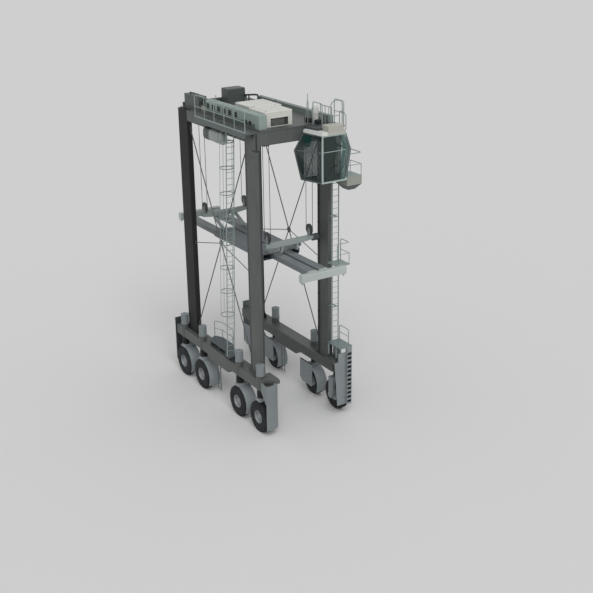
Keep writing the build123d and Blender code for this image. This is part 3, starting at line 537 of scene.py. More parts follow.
def deselect() -> None:
    """Deselect everything."""
    bpy.ops.object.select_all(action="DESELECT")


def select_only(*pieces: Obj) -> None:
    """Select these objects and nothing else, the first of them active.

    Args:
        *pieces: Objects to select.
    """
    deselect()
    for piece in pieces:
        piece.select_set(True)
    bpy.context.view_layer.objects.active = pieces[0]


def settle(piece: Obj, name: str, place: Matrix | None = None) -> Obj:
    """Name a piece and move its place into its mesh.

    Args:
        piece: Object to settle.
        name: New name.
        place: Where it goes, if it isn't there yet.

    Returns:
        The same object, at the origin.
    """
    select_only(piece)
    if place is not None:
        piece.matrix_world = place @ piece.matrix_world
    bpy.ops.object.transform_apply(location=True, rotation=True, scale=True)
    piece.name = piece.data.name = name
    return piece


def add_bevel(piece: Obj, width: float, segments: int = 2) -> None:
    """Round a piece's sharp edges.

    Args:
        piece: Object to bevel.
        width: Width of the bevel in metres.
        segments: Number of steps across it.
    """
    select_only(piece)
    bevel = piece.modifiers.new("edge", "BEVEL")
    bevel.width = width
    bevel.segments = segments
    bevel.limit_method = "ANGLE"
    bpy.ops.object.modifier_apply(modifier=bevel.name)


def block(low: Point, high: Point, name: str, bevel: float = 0.0) -> Obj:
    """Make a box between two corners, with rounded edges.

    Args:
        low: Lowest corner.
        high: Highest corner.
        name: Name of the piece.
        bevel: Width of the rounding in metres.

    Returns:
        The box.
    """
    a, b = Vector(low), Vector(high)
    deselect()
    bpy.ops.mesh.primitive_cube_add(size=1, location=(a + b) / 2)
    piece = bpy.context.active_object
    piece.scale = b - a
    settle(piece, name)
    if bevel:
        add_bevel(piece, bevel)
    return piece


def rod(start: Point, end: Point, radius: float, name: str, sides: int = 12) -> Obj:
    """Make a round rod from one point to another.

    Args:
        start: Middle of the first end.
        end: Middle of the other end.
        radius: Radius in metres.
        name: Name of the piece.
        sides: Number of faces around it.

    Returns:
        The rod.
    """
    a, b = Vector(start), Vector(end)
    deselect()
    bpy.ops.mesh.primitive_cylinder_add(
        vertices=sides, radius=radius, depth=(b - a).length, location=(a + b) / 2,
        rotation=(b - a).to_track_quat("Z", "Y").to_euler())
    return settle(bpy.context.active_object, name)


def stud(point: Point, axis: int, outward: int) -> Obj:
    """Make a hexagon bolt head that stands on a face.

    Args:
        point: Middle of the head on the face.
        axis: Axis that the head points along.
        outward: Direction along that axis.

    Returns:
        The head, sunk 2 mm into the face and 12 mm proud of it.
    """
    start, end = Vector(point), Vector(point)
    start[axis] -= 0.002 * outward
    end[axis] += 0.012 * outward
    return rod(start, end, 0.013, "head", 6)


def hoop(centre: Point, radius: float, wire_r: float, steps: tuple[int, int] = (20, 8)) -> Obj:
    """Make a ring of round bar about the Y axis, such as a lifting eye.

    Args:
        centre: Middle of the ring.
        radius: Radius of the bar's middle line.
        wire_r: Radius of the bar.
        steps: Number of faces round the ring and round the bar.

    Returns:
        The ring.
    """
    deselect()
    bpy.ops.mesh.primitive_torus_add(
        major_radius=radius, minor_radius=wire_r, major_segments=steps[0],
        minor_segments=steps[1], location=centre, rotation=(math.pi / 2, 0, 0))
    return settle(bpy.context.active_object, "hoop")


def mirrored(half: Profile) -> Profile:
    """Complete a profile that is alike on both sides of its middle.

    Args:
        half: Rings of the lower half, from its end to the middle.

    Returns:
        Rings of both halves.
    """
    return half + [(radius, -height) for radius, height in reversed(half)]


def lathe(profile: Profile, name: str, place: Matrix | None = None, steps: int = 48) -> Obj:
    """Turn a profile about the Z axis, by extruding a ring again and again, and place it.

    Args:
        profile: Radius and height of each ring, from one end to the other.
        name: Name of the piece.
        place: Where the turned piece goes.
        steps: Number of faces around it.

    Returns:
        The turned piece.
    """
    radius, height = profile[0]
    deselect()
    bpy.ops.mesh.primitive_circle_add(vertices=steps, radius=radius, location=(0, 0, height))
    piece = bpy.context.active_object
    bpy.ops.object.mode_set(mode="EDIT")
    bpy.ops.mesh.select_all(action="SELECT")
    for next_radius, next_height in profile[1:]:
        bpy.ops.mesh.extrude_region_move(
            TRANSFORM_OT_translate={"value": (0, 0, next_height - height)})
        bpy.ops.transform.resize(value=(next_radius / radius, next_radius / radius, 1))
        radius, height = next_radius, next_height
    bpy.ops.mesh.select_all(action="SELECT")
    bpy.ops.mesh.remove_doubles(threshold=1e-5)
    bpy.ops.mesh.select_mode(type="VERT")
    bpy.ops.mesh.select_all(action="DESELECT")
    bpy.ops.mesh.select_non_manifold()
    bpy.ops.mesh.fill_holes(sides=0)
    bpy.ops.mesh.select_all(action="SELECT")
    bpy.ops.mesh.normals_make_consistent(inside=False)
    bpy.ops.object.mode_set(mode="OBJECT")
    return settle(piece, name, place)


def cut_above(piece: Obj, point: Point, normal: Point) -> Obj:
    """Cut away what lies past a plane, and close the cut.

    Args:
        piece: Piece to cut.
        point: Point of the plane.
        normal: Direction that points at what goes.

    Returns:
        The same piece.
    """
    bpy.ops.object.mode_set(mode="EDIT")
    bpy.ops.mesh.select_all(action="SELECT")
    bpy.ops.mesh.bisect(plane_co=point, plane_no=normal, use_fill=True, clear_outer=True)
    bpy.ops.object.mode_set(mode="OBJECT")
    return piece


def merge(parts: list[Obj], name: str) -> Obj:
    """Join several pieces into one mesh.

    Args:
        parts: Pieces to join.
        name: Name of the result.

    Returns:
        The joined piece.
    """
    select_only(*parts)
    if len(parts) > 1:
        bpy.ops.object.join()
    piece = bpy.context.view_layer.objects.active
    piece.name = piece.data.name = name
    return piece


def copy_of(piece: Obj, name: str, place: Matrix | None = None) -> Obj:
    """Copy a piece with a mesh of its own.

    Args:
        piece: Piece to copy.
        name: Name of the copy.
        place: Move to apply to the copy.

    Returns:
        The copy.
    """
    twin = piece.copy()
    twin.data = piece.data.copy()
    bpy.context.scene.collection.objects.link(twin)
    return settle(twin, name, place)


def discard(*spares: Obj) -> None:
    """Remove pieces that were only there to be copied.

    Args:
        *spares: Pieces to remove.
    """
    for spare in spares:
        bpy.data.objects.remove(spare)


def around(piece: Obj, count: int, place: Matrix | None = None) -> list[Obj]:
    """Replace a piece by copies at equal steps round the Z axis.

    Args:
        piece: Piece to copy, which is removed.
        count: Number of copies.
        place: Where the ring goes.

    Returns:
        The copies.
    """
    place = place or Matrix.Identity(4)
    copies = [copy_of(piece, "copy", place @ Matrix.Rotation(2 * math.pi * i / count, 4, "Z"))
              for i in range(count)]
    discard(piece)
    return copies


def row_of(piece: Obj, count: int, step: Point, name: str) -> Obj:
    """Repeat a piece in a straight row with an array.

    Args:
        piece: Piece to repeat.
        count: Number of copies, the first included.
        step: Distance from one copy to the next.
        name: Name of the row.

    Returns:
        The row.
    """
    select_only(piece)
    array = piece.modifiers.new("row", "ARRAY")
    array.count = count
    array.use_relative_offset = False
    array.use_constant_offset = True
    array.constant_offset_displace = step
    bpy.ops.object.modifier_apply(modifier=array.name)
    piece.name = piece.data.name = name
    return piece


def bolt_ring(centre: Point, ring: float, count: int, size: float) -> Obj:
    """Make a ring of hexagon bolt heads on washers, which point up.

    Args:
        centre: Middle of the ring, on the face that the heads sit on.
        ring: Radius of the ring.
        count: Number of bolts.
        size: Radius of a head across its corners.

    Returns:
        The ring of heads.
    """
    head = lathe([(size * 1.4, 0), (size * 1.4, 0.004), (size, 0.004), (size, size * 1.1),
                  (size * 0.8, size * 1.3), (0.001, size * 1.3)],
                 "head", Matrix.Translation((ring, 0, 0)), 6)
    return merge(around(head, count, Matrix.Translation(centre)), "bolt ring")


def pipe_run(points: list[Point], radius: float) -> Obj:
    """Make a bent pipe: a rod for each stretch and a ball in each bend.

    Args:
        points: Corners of the run, from one end to the other.
        radius: Radius in metres.

    Returns:
        The pipe.
    """
    parts = [rod(a, b, radius, "stretch", 10) for a, b in zip(points, points[1:])]
    for point in points[1:-1]:
        deselect()
        bpy.ops.mesh.primitive_uv_sphere_add(
            segments=10, ring_count=8, radius=radius * 1.04, location=point)
        parts.append(settle(bpy.context.active_object, "bend"))
    return merge(parts, "pipe")


def panel(low: Point, high: Point, face: str, rim: float, depth: float,
          finishes: tuple[Coat, Coat]) -> Obj:
    """Make a framed panel: a box whose outer face is inset, pushed in and coated by itself.

    Args:
        low: Lowest corner.
        high: Highest corner.
        face: Outer face, such as -Y or +X.
        rim: Width of the frame round the inset in metres.
        depth: How far the inset goes in, in metres.
        finishes: Finishes of the frame and of the recess.

    Returns:
        The panel.
    """
    piece = block(low, high, "panel")
    mesh = piece.data
    axis, sign = "XYZ".index(face[1]), 1 if face[0] == "+" else -1
    for coat in finishes:
        mesh.materials.append(coats.get(coat))
    for item in (*mesh.vertices, *mesh.edges, *mesh.polygons):
        item.select = False
    for polygon in mesh.polygons:
        if polygon.normal[axis] * sign > 0.9:
            polygon.select = True
            for corner in polygon.vertices:
                mesh.vertices[corner].select = True
    bpy.ops.object.mode_set(mode="EDIT")
    bpy.ops.mesh.select_mode(type="FACE")
    bpy.ops.mesh.inset(thickness=rim, depth=0)
    move = [0.0, 0.0, 0.0]
    move[axis] = -sign * depth
    bpy.ops.mesh.extrude_region_move(TRANSFORM_OT_translate={"value": tuple(move)})
    piece.active_material_index = 1
    bpy.ops.object.material_slot_assign()
    bpy.ops.mesh.select_all(action="SELECT")
    bpy.ops.mesh.normals_make_consistent(inside=False)
    bpy.ops.object.mode_set(mode="OBJECT")
    return piece


def carry(piece: Obj, body: str) -> Obj:
    """Give a piece that has its finishes its body.

    Args:
        piece: Finished piece.
        body: Body that it moves with.

    Returns:
        The same piece.
    """
    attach(piece, body)
    log.info("%s rides on %s, %d faces", piece.name, body, len(piece.data.polygons))
    return piece


def dress(piece: Obj, coat: Coat, body: str, smooth: float = 30.0) -> Obj:
    """Give a new piece its finish, its body and its slot.

    Args:
        piece: Finished piece.
        coat: Finish.
        body: Body that it moves with.
        smooth: Angle in degrees under which faces are shaded as one.

    Returns:
        The same piece.
    """
    piece.data.materials.clear()
    piece.data.materials.append(coats.get(coat))
    select_only(piece)
    bpy.ops.object.shade_smooth_by_angle(angle=math.radians(smooth))
    return carry(piece, body)


# The frame's own nodes


@dataclass
class FrameNodes:
    """Finishes of the nodes that show as they are."""

    # start of the node's name, its finish
    table: tuple[tuple[str, Coat], ...] = (
        ("leg_housings", Coat.HOUSING),
        ("leg_", Coat.LEG),
        ("rim_", Coat.RIM),
        ("tyre_", Coat.RUBBER),
        ("column_rear", Coat.FRAME_REAR),
        ("column_front_right", Coat.COLUMN),
        ("wheel_guards", Coat.GUARD),
        ("step_guard_left", Coat.STEPS),
        ("machine_house", Coat.HOUSE_NODE),
        ("cab_glass", Coat.GLASS),
        ("cab_roof", Coat.ROOF),
        ("cab_seat", Coat.SEAT),
        ("cab_", Coat.CAB_FRAME),
        ("cabinets", Coat.CABINET),
        ("balcony", Coat.BALCONY),
        ("walkway_right", Coat.WALKWAY),
        ("ladder_", Coat.RAIL),
        ("lower_platforms", Coat.PLATFORMS),
        ("service_rails", Coat.SERVICE),
        ("hoist_ropes", Coat.ROPE),
        ("hoist_winch", Coat.DARK),
        ("fluid_tank", Coat.TANK),
        ("engine_block", Coat.MACHINE),
        ("spreader_frame", Coat.SPREADER_FRAME),
        ("spreader_end", Coat.SPREADER_END),
        ("head_beams", Coat.HEAD_BEAM),
        ("cross_beam_front", Coat.PLATFORM_BEAM),
        ("top_beam_left", Coat.DUCT_BEAM),
        ("", Coat.FRAME),
    )

    def dress(self) -> None:
        """Give each node its finish."""
        for name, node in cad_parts.items():
            coat = next(coat for start, coat in self.table if name.startswith(start))
            for material_slot in node.material_slots:
                material_slot.material = coats.get(coat)
            log.info("node %s: %s", name, coat.name)


# Studio


@dataclass
class Studio:
    """Pale floor, soft light and the camera at the photograph's angle."""

    # the camera, fitted to the photograph
    azimuth: float = 57.264
    elevation: float = 21.248
    roll: float = -0.658
    position: Point = (42.562, -24.968, 24.444)
    focal_px: float = 1028.714
    picture_px: float = 593.0
    sensor_mm: float = 36.0
    clip_end: float = 2000.0
    # floor and light
    floor_half: float = 400.0
    floor_colour: str = "#D2D2D2"
    sky_colour: str = "#CCCCCC"
    sun_strength: float = 1.5
    sun_angle: float = 35.0
    sun_run: Point = (-0.80, 0.30, -1.0)

    def camera(self) -> None:
        """Create the camera."""
        az, el, roll = (math.radians(a) for a in (self.azimuth, self.elevation, self.roll))
        back = Vector((math.sin(az) * math.cos(el), -math.cos(az) * math.cos(el), math.sin(el)))
        level = Vector((math.cos(az), math.sin(az), 0))
        upright = back.cross(level)
        right = level * math.cos(roll) + upright * math.sin(roll)
        up = upright * math.cos(roll) - level * math.sin(roll)
        data = bpy.data.cameras.new("photo camera")
        data.sensor_width = self.sensor_mm
        data.lens = self.sensor_mm * self.focal_px / self.picture_px
        data.clip_end = self.clip_end
        camera = bpy.data.objects.new("photo camera", data)
        rotation = Matrix((right, up, back)).transposed().to_4x4()
        camera.matrix_world = Matrix.Translation(self.position) @ rotation
        bpy.context.scene.collection.objects.link(camera)
        bpy.context.scene.camera = camera

    def floor(self) -> None:
        """Lay the floor, which shows to the camera as the photograph's plain grey."""
        deselect()
        bpy.ops.mesh.primitive_plane_add(size=2 * self.floor_half, location=(0, 0, 0))
        floor = settle(bpy.context.active_object, "floor")
        material, _, shader, _ = fresh_material("pale floor")
        shader.inputs["Base Color"].default_value = linear(self.floor_colour)
        shader.inputs["Roughness"].default_value = 0.9
        shader.inputs["Specular IOR Level"].default_value = 0.1
        floor.data.materials.append(material)

    def light(self) -> None:
        """Set the sky and one soft sun."""
        world = bpy.data.worlds.new("plain sky")
        bpy.context.scene.world = world
        world.use_nodes = True
        background = world.node_tree.nodes["Background"]
        background.inputs["Color"].default_value = linear(self.sky_colour)
        background.inputs["Strength"].default_value = 1.0
        lamp = bpy.data.lights.new("soft sun", "SUN")
        lamp.energy = self.sun_strength
        lamp.angle = math.radians(self.sun_angle)
        sun = bpy.data.objects.new("soft sun", lamp)
        sun.rotation_euler = Vector(self.sun_run).to_track_quat("-Z", "Y").to_euler()
        bpy.context.scene.collection.objects.link(sun)

    def build(self) -> None:
        """Build the studio."""
        bpy.context.scene.view_settings.view_transform = "Standard"
        self.camera()
        self.floor()
        self.light()


# Running gear


@dataclass
class Wheels:
    """Eight wheels: tyres with shoulder lugs, and dished rims with their nuts."""

    lug_count: int = 30
    lug_depth: float = 0.022
    rim_half: float = 0.2
    nut_count: int = 12
    nut_ring: float = 0.215
    nut_r: float = 0.016

    def build(self) -> None:
        """Build one tyre and one rim, and copy them to every wheel."""
        low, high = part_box("tyre_r1")
        self.radius, self.half = (high.z - low.z) / 2, (high.y - low.y) / 2
        low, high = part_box("rim_r1")
        self.rim_radius = (high.z - low.z) / 2
        tyre, rim = self.tyre(), self.rim()
        for name in WHEELS:
            low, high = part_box(f"tyre_{name}")
            centre = (low + high) / 2
            # the turned axis Z becomes the axle, pointing outwards
            turn = Matrix.Rotation(math.copysign(math.pi / 2, -centre.y), 4, "X")
            place = Matrix.Translation(centre) @ turn
            piece = copy_of(tyre, f"tyre_tread_{name}", place)
            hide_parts(f"tyre_{name}")
            dress(piece, Coat.RUBBER, f"wheel_{name}")
            piece = copy_of(rim, f"rim_dish_{name}", place)
            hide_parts(f"rim_{name}")
            dress(piece, Coat.RIM, f"wheel_{name}")
        discard(tyre, rim)

    def tyre(self) -> Obj:
        """Model the tyre: a turned carcass with rounded shoulders, and lugs along both.

        Returns:
            The tyre, with its axle along Z.
        """
        r, rim_r, half = self.radius, self.rim_radius, self.half
        base = r - self.lug_depth
        # from the bead over the sidewall and shoulder to the middle of the tread
        profile = mirrored([
            (rim_r, 0.03 - half), (rim_r + 0.02, 0.012 - half), (rim_r + 0.10, 0.004 - half),
            (r * 0.72, -half), (r * 0.83, 0.004 - half), (r - 0.075, 0.02 - half),
            (base - 0.012, 0.05 - half), (base, 0.085 - half), (base + 0.002, -0.075),
            (base - 0.012, -0.065), (base - 0.012, -0.045), (base + 0.003, -0.035)])
        carcass = lathe(profile + profile[:1], "carcass", steps=72)
        lug = merge([
            block((base - 0.03, -0.055, 0.0), (r - 0.001, 0.055, half - 0.075), "lug", 0.008),
            block((base - 0.055, -0.05, half - 0.10), (r - 0.022, 0.05, half - 0.03), "wing",
                  0.008)], "lug")
        # the other shoulder's lugs stand half a step further round
        offset = Matrix.Rotation(math.pi / self.lug_count, 4, "Z")
        other = copy_of(lug, "lug", offset @ Matrix.Rotation(math.pi, 4, "X"))
        return merge([carcass, *around(lug, self.lug_count), *around(other, self.lug_count)],
                     "tyre")

    def rim(self) -> Obj:
        """Model the rim: a turned barrel and dish, a stepped hub and a ring of nuts.

        Returns:
            The rim, with its axle along Z and its outer face up.
        """
        r, half, nut_r = self.rim_radius, self.rim_half, self.nut_r
        dish = lathe([
            (r, -half), (r, half - 0.012), (r - 0.008, half), (r - 0.022, half),
            (r - 0.03, half - 0.015), (r - 0.034, half - 0.05), (r - 0.06, 0.075),
            (r - 0.09, 0.055), (0.23, 0.05), (0.19, 0.055), (0.165, 0.075), (0.15, 0.085),
            (0.15, 0.118), (0.142, 0.128), (0.095, 0.13), (0.088, 0.122), (0.06, 0.12),
            (0.055, 0.129), (0.012, 0.13)], "dish")
        nut = lathe([(nut_r, 0.045), (nut_r, 0.068), (nut_r * 0.8, 0.073), (0.004, 0.073)],
                    "nut", Matrix.Translation((self.nut_ring, 0, 0)), 6)
        return merge([dish, *around(nut, self.nut_count)], "rim")


@dataclass
class LegDetails:
    """Folded bellows round each kingpin, bolts on its flange, a cap over each spring housing."""

    fold_count: int = 7
    inner_r: float = 0.168
    outer_r: float = 0.196
    low_z: float = 1.822
    high_z: float = 2.178
    clamp_t: float = 0.012
    clamp_h: float = 0.026
    flange_top: float = 1.81
    housing_foot: float = 3.0
    housing_top: float = 3.54
    housing_r: float = 0.205

    def build(self) -> None:
        """Build one of each and copy it to the eight wheels."""
        bellows, cap = self.bellows(), self.cap()
        bolts = bolt_ring((0, 0, self.flange_top), 0.183, 14, 0.010)
        for name in WHEELS:
            low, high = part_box(f"tyre_{name}")
            place = Matrix.Translation(((low.x + high.x) / 2, (low.y + high.y) / 2, 0))
            body = f"steer_{name}"
            dress(copy_of(bellows, f"bellows_{name}", place), Coat.BLACK, body)
            dress(copy_of(bolts, f"flange_bolts_{name}", place), Coat.ZINC, body)
            dress(copy_of(cap, f"housing_cap_{name}", place), Coat.HOUSING, "frame")
        discard(bellows, bolts, cap)

    def bellows(self) -> Obj:
        """Turn the bellows: folds between two clamp bands.

        Returns:
            The bellows.
        """
        inner, clamp = self.inner_r, self.inner_r + self.clamp_t
        low, high = self.low_z, self.high_z
        step = (high - low - 0.06) / self.fold_count
        profile = [(inner, low), (clamp, low), (clamp, low + self.clamp_h), (inner, low + 0.03)]
        for i in range(self.fold_count):
            z = low + 0.03 + i * step
            profile += [(self.outer_r, z + step * 0.42), (self.outer_r, z + step * 0.58),
                        (inner, z + step)]
        profile += [(clamp, high - self.clamp_h), (clamp, high), (inner, high),
                    (inner - 0.002, low), (inner, low)]
        return lathe(profile, "bellows", steps=32)

    def cap(self) -> Obj:
        """Turn the housing's lid, with a lifting eye and a ring of bolts, and its foot ring.

        Returns:
            The cap.
        """
        r, z, foot_z = self.housing_r, self.housing_top, self.housing_foot
        lid = lathe([(r - 0.004, z - 0.03), (r + 0.012, z - 0.03), (r + 0.012, z - 0.008),
                     (r + 0.004, z), (r - 0.03, z + 0.004), (r - 0.05, z + 0.016),
                     (0.05, z + 0.022), (0.001, z + 0.022)], "lid", steps=40)
        foot = lathe([(r, foot_z), (r + 0.02, foot_z), (r + 0.02, foot_z + 0.02),
                      (r + 0.004, foot_z + 0.03), (r, foot_z + 0.03)], "foot ring", steps=40)
        return merge([lid, hoop((0, 0, z + 0.048), 0.03, 0.008),
                      bolt_ring((0, 0, z + 0.003), r - 0.018, 12, 0.009), foot], "housing cap")


# Columns and upper frame


@dataclass
class FrameDetails:
    """Joint bolts and black strips of painted shadow at the column heads, cable runs, gussets and
    lifting eyes.
    """

    flange_z: float = 13.558
    flange_proud: float = 0.014
    conduit_r: float = 0.018
    conduit_z: tuple[float, float] = (2.80, 13.95)
    saddle_pitch: float = 0.93
    gusset_run: float = 0.22
    gusset_rise: float = 0.34

    def build(self) -> None:
        """Build the details of the four columns."""
        self.joints()
        self.strips()
        self.conduits()
        self.gussets()
        self.eyes()

    def joints(self) -> None:
        """Set rows of bolts under the flanges of the front columns."""
        z = self.flange_z
        for word, _ in SIDES:
            low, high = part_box(f"column_front_{word}")
            heads = []
            for y, outward in ((low.y, -1), (high.y, 1)):
                head = stud((low.x + 0.10, y, z), 1, outward)
                heads.append(row_of(head, 9, ((high.x - low.x - 0.2) / 8, 0, 0), "heads"))
            for x, outward in ((low.x, -1), (high.x, 1)):
                head = stud((x, low.y + 0.06, z), 0, outward)
                heads.append(row_of(head, 3, (0, (high.y - low.y - 0.12) / 2, 0), "heads"))
            dress(merge(heads, f"column_joint_bolts_{word}"), Coat.ZINC, "frame")

    def strips(self) -> None:
        """Lay thin black strips round the head plates of the front right column: painted shadow in
        the gaps at its joints.
        """
        low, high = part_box("column_front_right")
        x, y = high.x - self.flange_proud, low.y + self.flange_proud
        corners = (((x - 0.004, y + 0.035, 13.90), (x + 0.006, y + 0.115, 14.69)),
                   ((x - 0.004, y + 0.010, 13.83), (x + 0.006, y + 0.20, 13.89)),
                   ((x - 0.27, y - 0.006, 13.86), (x - 0.02, y + 0.004, 13.92)))
        strips = [block(*pair, "strip", 0.002) for pair in corners]
        dress(merge(strips, "head_painted_shadow_gaps"), Coat.BLACK, "frame")

    def conduits(self) -> None:
        """Run pairs of cable conduits down the inner faces of the columns, with their saddles."""
        z0, z1 = self.conduit_z
        for end, _ in ENDS:
            for word, side in SIDES:
                low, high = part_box(f"column_{end}_{word}")
                y = (low.y if side > 0 else high.y) - side * (self.conduit_r + 0.004)
                parts = [rod((x, y, z0), (x, y, z1), self.conduit_r, "conduit", 10)
                         for x in (low.x + 0.14, low.x + 0.20)]
                saddle = block((low.x + 0.10, y - 0.024, 3.2), (low.x + 0.24, y + 0.024, 3.24),
                               "saddle", 0.004)
                parts.append(row_of(saddle, 12, (0, 0, self.saddle_pitch), "saddles"))
                dress(merge(parts, f"column_conduits_{end}_{word}"), Coat.DARK, "frame")

    def gussets(self) -> None:
        """Weld gusset plates at the columns' feet, also ahead of the rear columns."""
        for end, _ in ENDS:
            for word, _ in SIDES:
                low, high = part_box(f"column_{end}_{word}")
                faces = ((low.x, -1),) if end == "front" else ((low.x, -1), (high.x, 1))
                parts = [self.gusset(x, y, outward) for x, outward in faces
                         for y in (low.y + 0.05, high.y - 0.05)]
                dress(merge(parts, f"column_gussets_{end}_{word}"),
                      Coat.FRAME if end == "front" else Coat.FRAME_REAR, "frame")

    def gusset(self, x: float, y: float, outward: int) -> Obj:
        """Model one gusset plate, a box with its upper outer corner cut away.

        Args:
            x: Column face.
            y: Middle of the plate.
            outward: Direction away from the column along X.

        Returns:
            The plate.
        """
        tip, z = x + outward * self.gusset_run, BEAM_TOP
        piece = block((min(x, tip), y - 0.008, z), (max(x, tip), y + 0.008, z + self.gusset_rise),
                      "gusset")
        return cut_above(piece, (tip, y, z + 0.05), (outward * 0.29, 0, 0.18))

    def eyes(self) -> None:
        """Set two lifting eyes on each rear column's head."""
        parts = []
        for word, _ in SIDES:
            low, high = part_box(f"column_rear_{word}")
            for x in (low.x + 0.12, high.x - 0.12):
                parts.append(hoop((x, (low.y + high.y) / 2, high.z + 0.03), 0.04, 0.014))
        dress(merge(parts, "column_lifting_eyes"), Coat.FRAME, "frame")


# Upper machinery


@dataclass
class LongCabinet:
    """Fittings of the long cabinet: its rear stretch, window row, doors and lid strips."""

    rear_x: float = -1.45
    front_x: float = -0.264
    face_y: float = -1.76
    inner_y: float = -1.345
    top_z: float = 15.38
    window_x: float = -1.36
    window_pitch: float = 0.53
    window_count: int = 6
    window_w: float = 0.34
    window_z: tuple[float, float] = (15.0, 15.27)
    vent_x: tuple[float, ...] = (2.26, 2.64)
    vent_w: float = 0.26
    vent_z: tuple[float, float] = (14.83, 15.07)
    door_x: float = -0.22
    door_pitch: float = 0.54
    door_w: float = 0.50
    door_z: float = 14.79
    strip_pitch: float = 0.56

    def build(self) -> None:
        """Build the fittings along the cabinet's outer side."""
        body = block((self.rear_x, self.face_y, DECK), (self.front_x, self.inner_y, self.top_z),
                     "cabinet_rear_stretch", 0.02)
        dress(body, Coat.CABINET, "frame")
        openings = [(self.window_x + i * self.window_pitch, self.window_w, self.window_z)
                    for i in range(self.window_count)]
        openings += [(x, self.vent_w, self.vent_z) for x in self.vent_x]
        y0, y1 = self.face_y - 0.012, self.face_y + 0.004
        windows = [panel((x, y0, z[0]), (x + width, y1, z[1]), "-Y", 0.012, 0.008,
                         (Coat.CABINET, Coat.BLACK)) for x, width, z in openings]
        carry(merge(windows, "cabinet_windows"), "frame")
        self.doors()
        self.lid()

    def doors(self) -> None:
        """Hang plain doors under the windows, each with a handle and two hinges."""
        doors, metal = [], []
        y = self.face_y
        for i in range(7):
            x = self.door_x + i * self.door_pitch
            # the doors under the vents are lower
            top = 14.98 if x < 1.7 else 14.84
            doors.append(block((x, y - 0.008, self.door_z), (x + self.door_w, y + 0.002, top),
                               "door", 0.003))
            # place along the door, distance from it, height, length and radius
            for along, out, z, length, radius in (
                    (0.42, 0.022, 14.82, top - 14.85, 0.006), (0.02, 0.012, 14.81, 0.03, 0.008),
                    (0.02, 0.012, top - 0.03, 0.03, 0.008)):
                metal.append(rod((x + along, y - out, z), (x + along, y - out, z + length),
                                 radius, "metal", 8))
        dress(merge(doors, "cabinet_doors"), Coat.CABINET, "frame")
        dress(merge(metal, "cabinet_handles"), Coat.ZINC, "frame")

    def lid(self) -> None:
        """Lay cover strips across the lid."""
        x, z = self.rear_x + 0.3, self.top_z
        strip = block((x, self.face_y + 0.02, z), (x + 0.05, -1.36, z + 0.006), "strip", 0.002)
        dress(row_of(strip, 9, (self.strip_pitch, 0, 0), "cabinet_lid_strips"), Coat.RAIL,
              "frame")


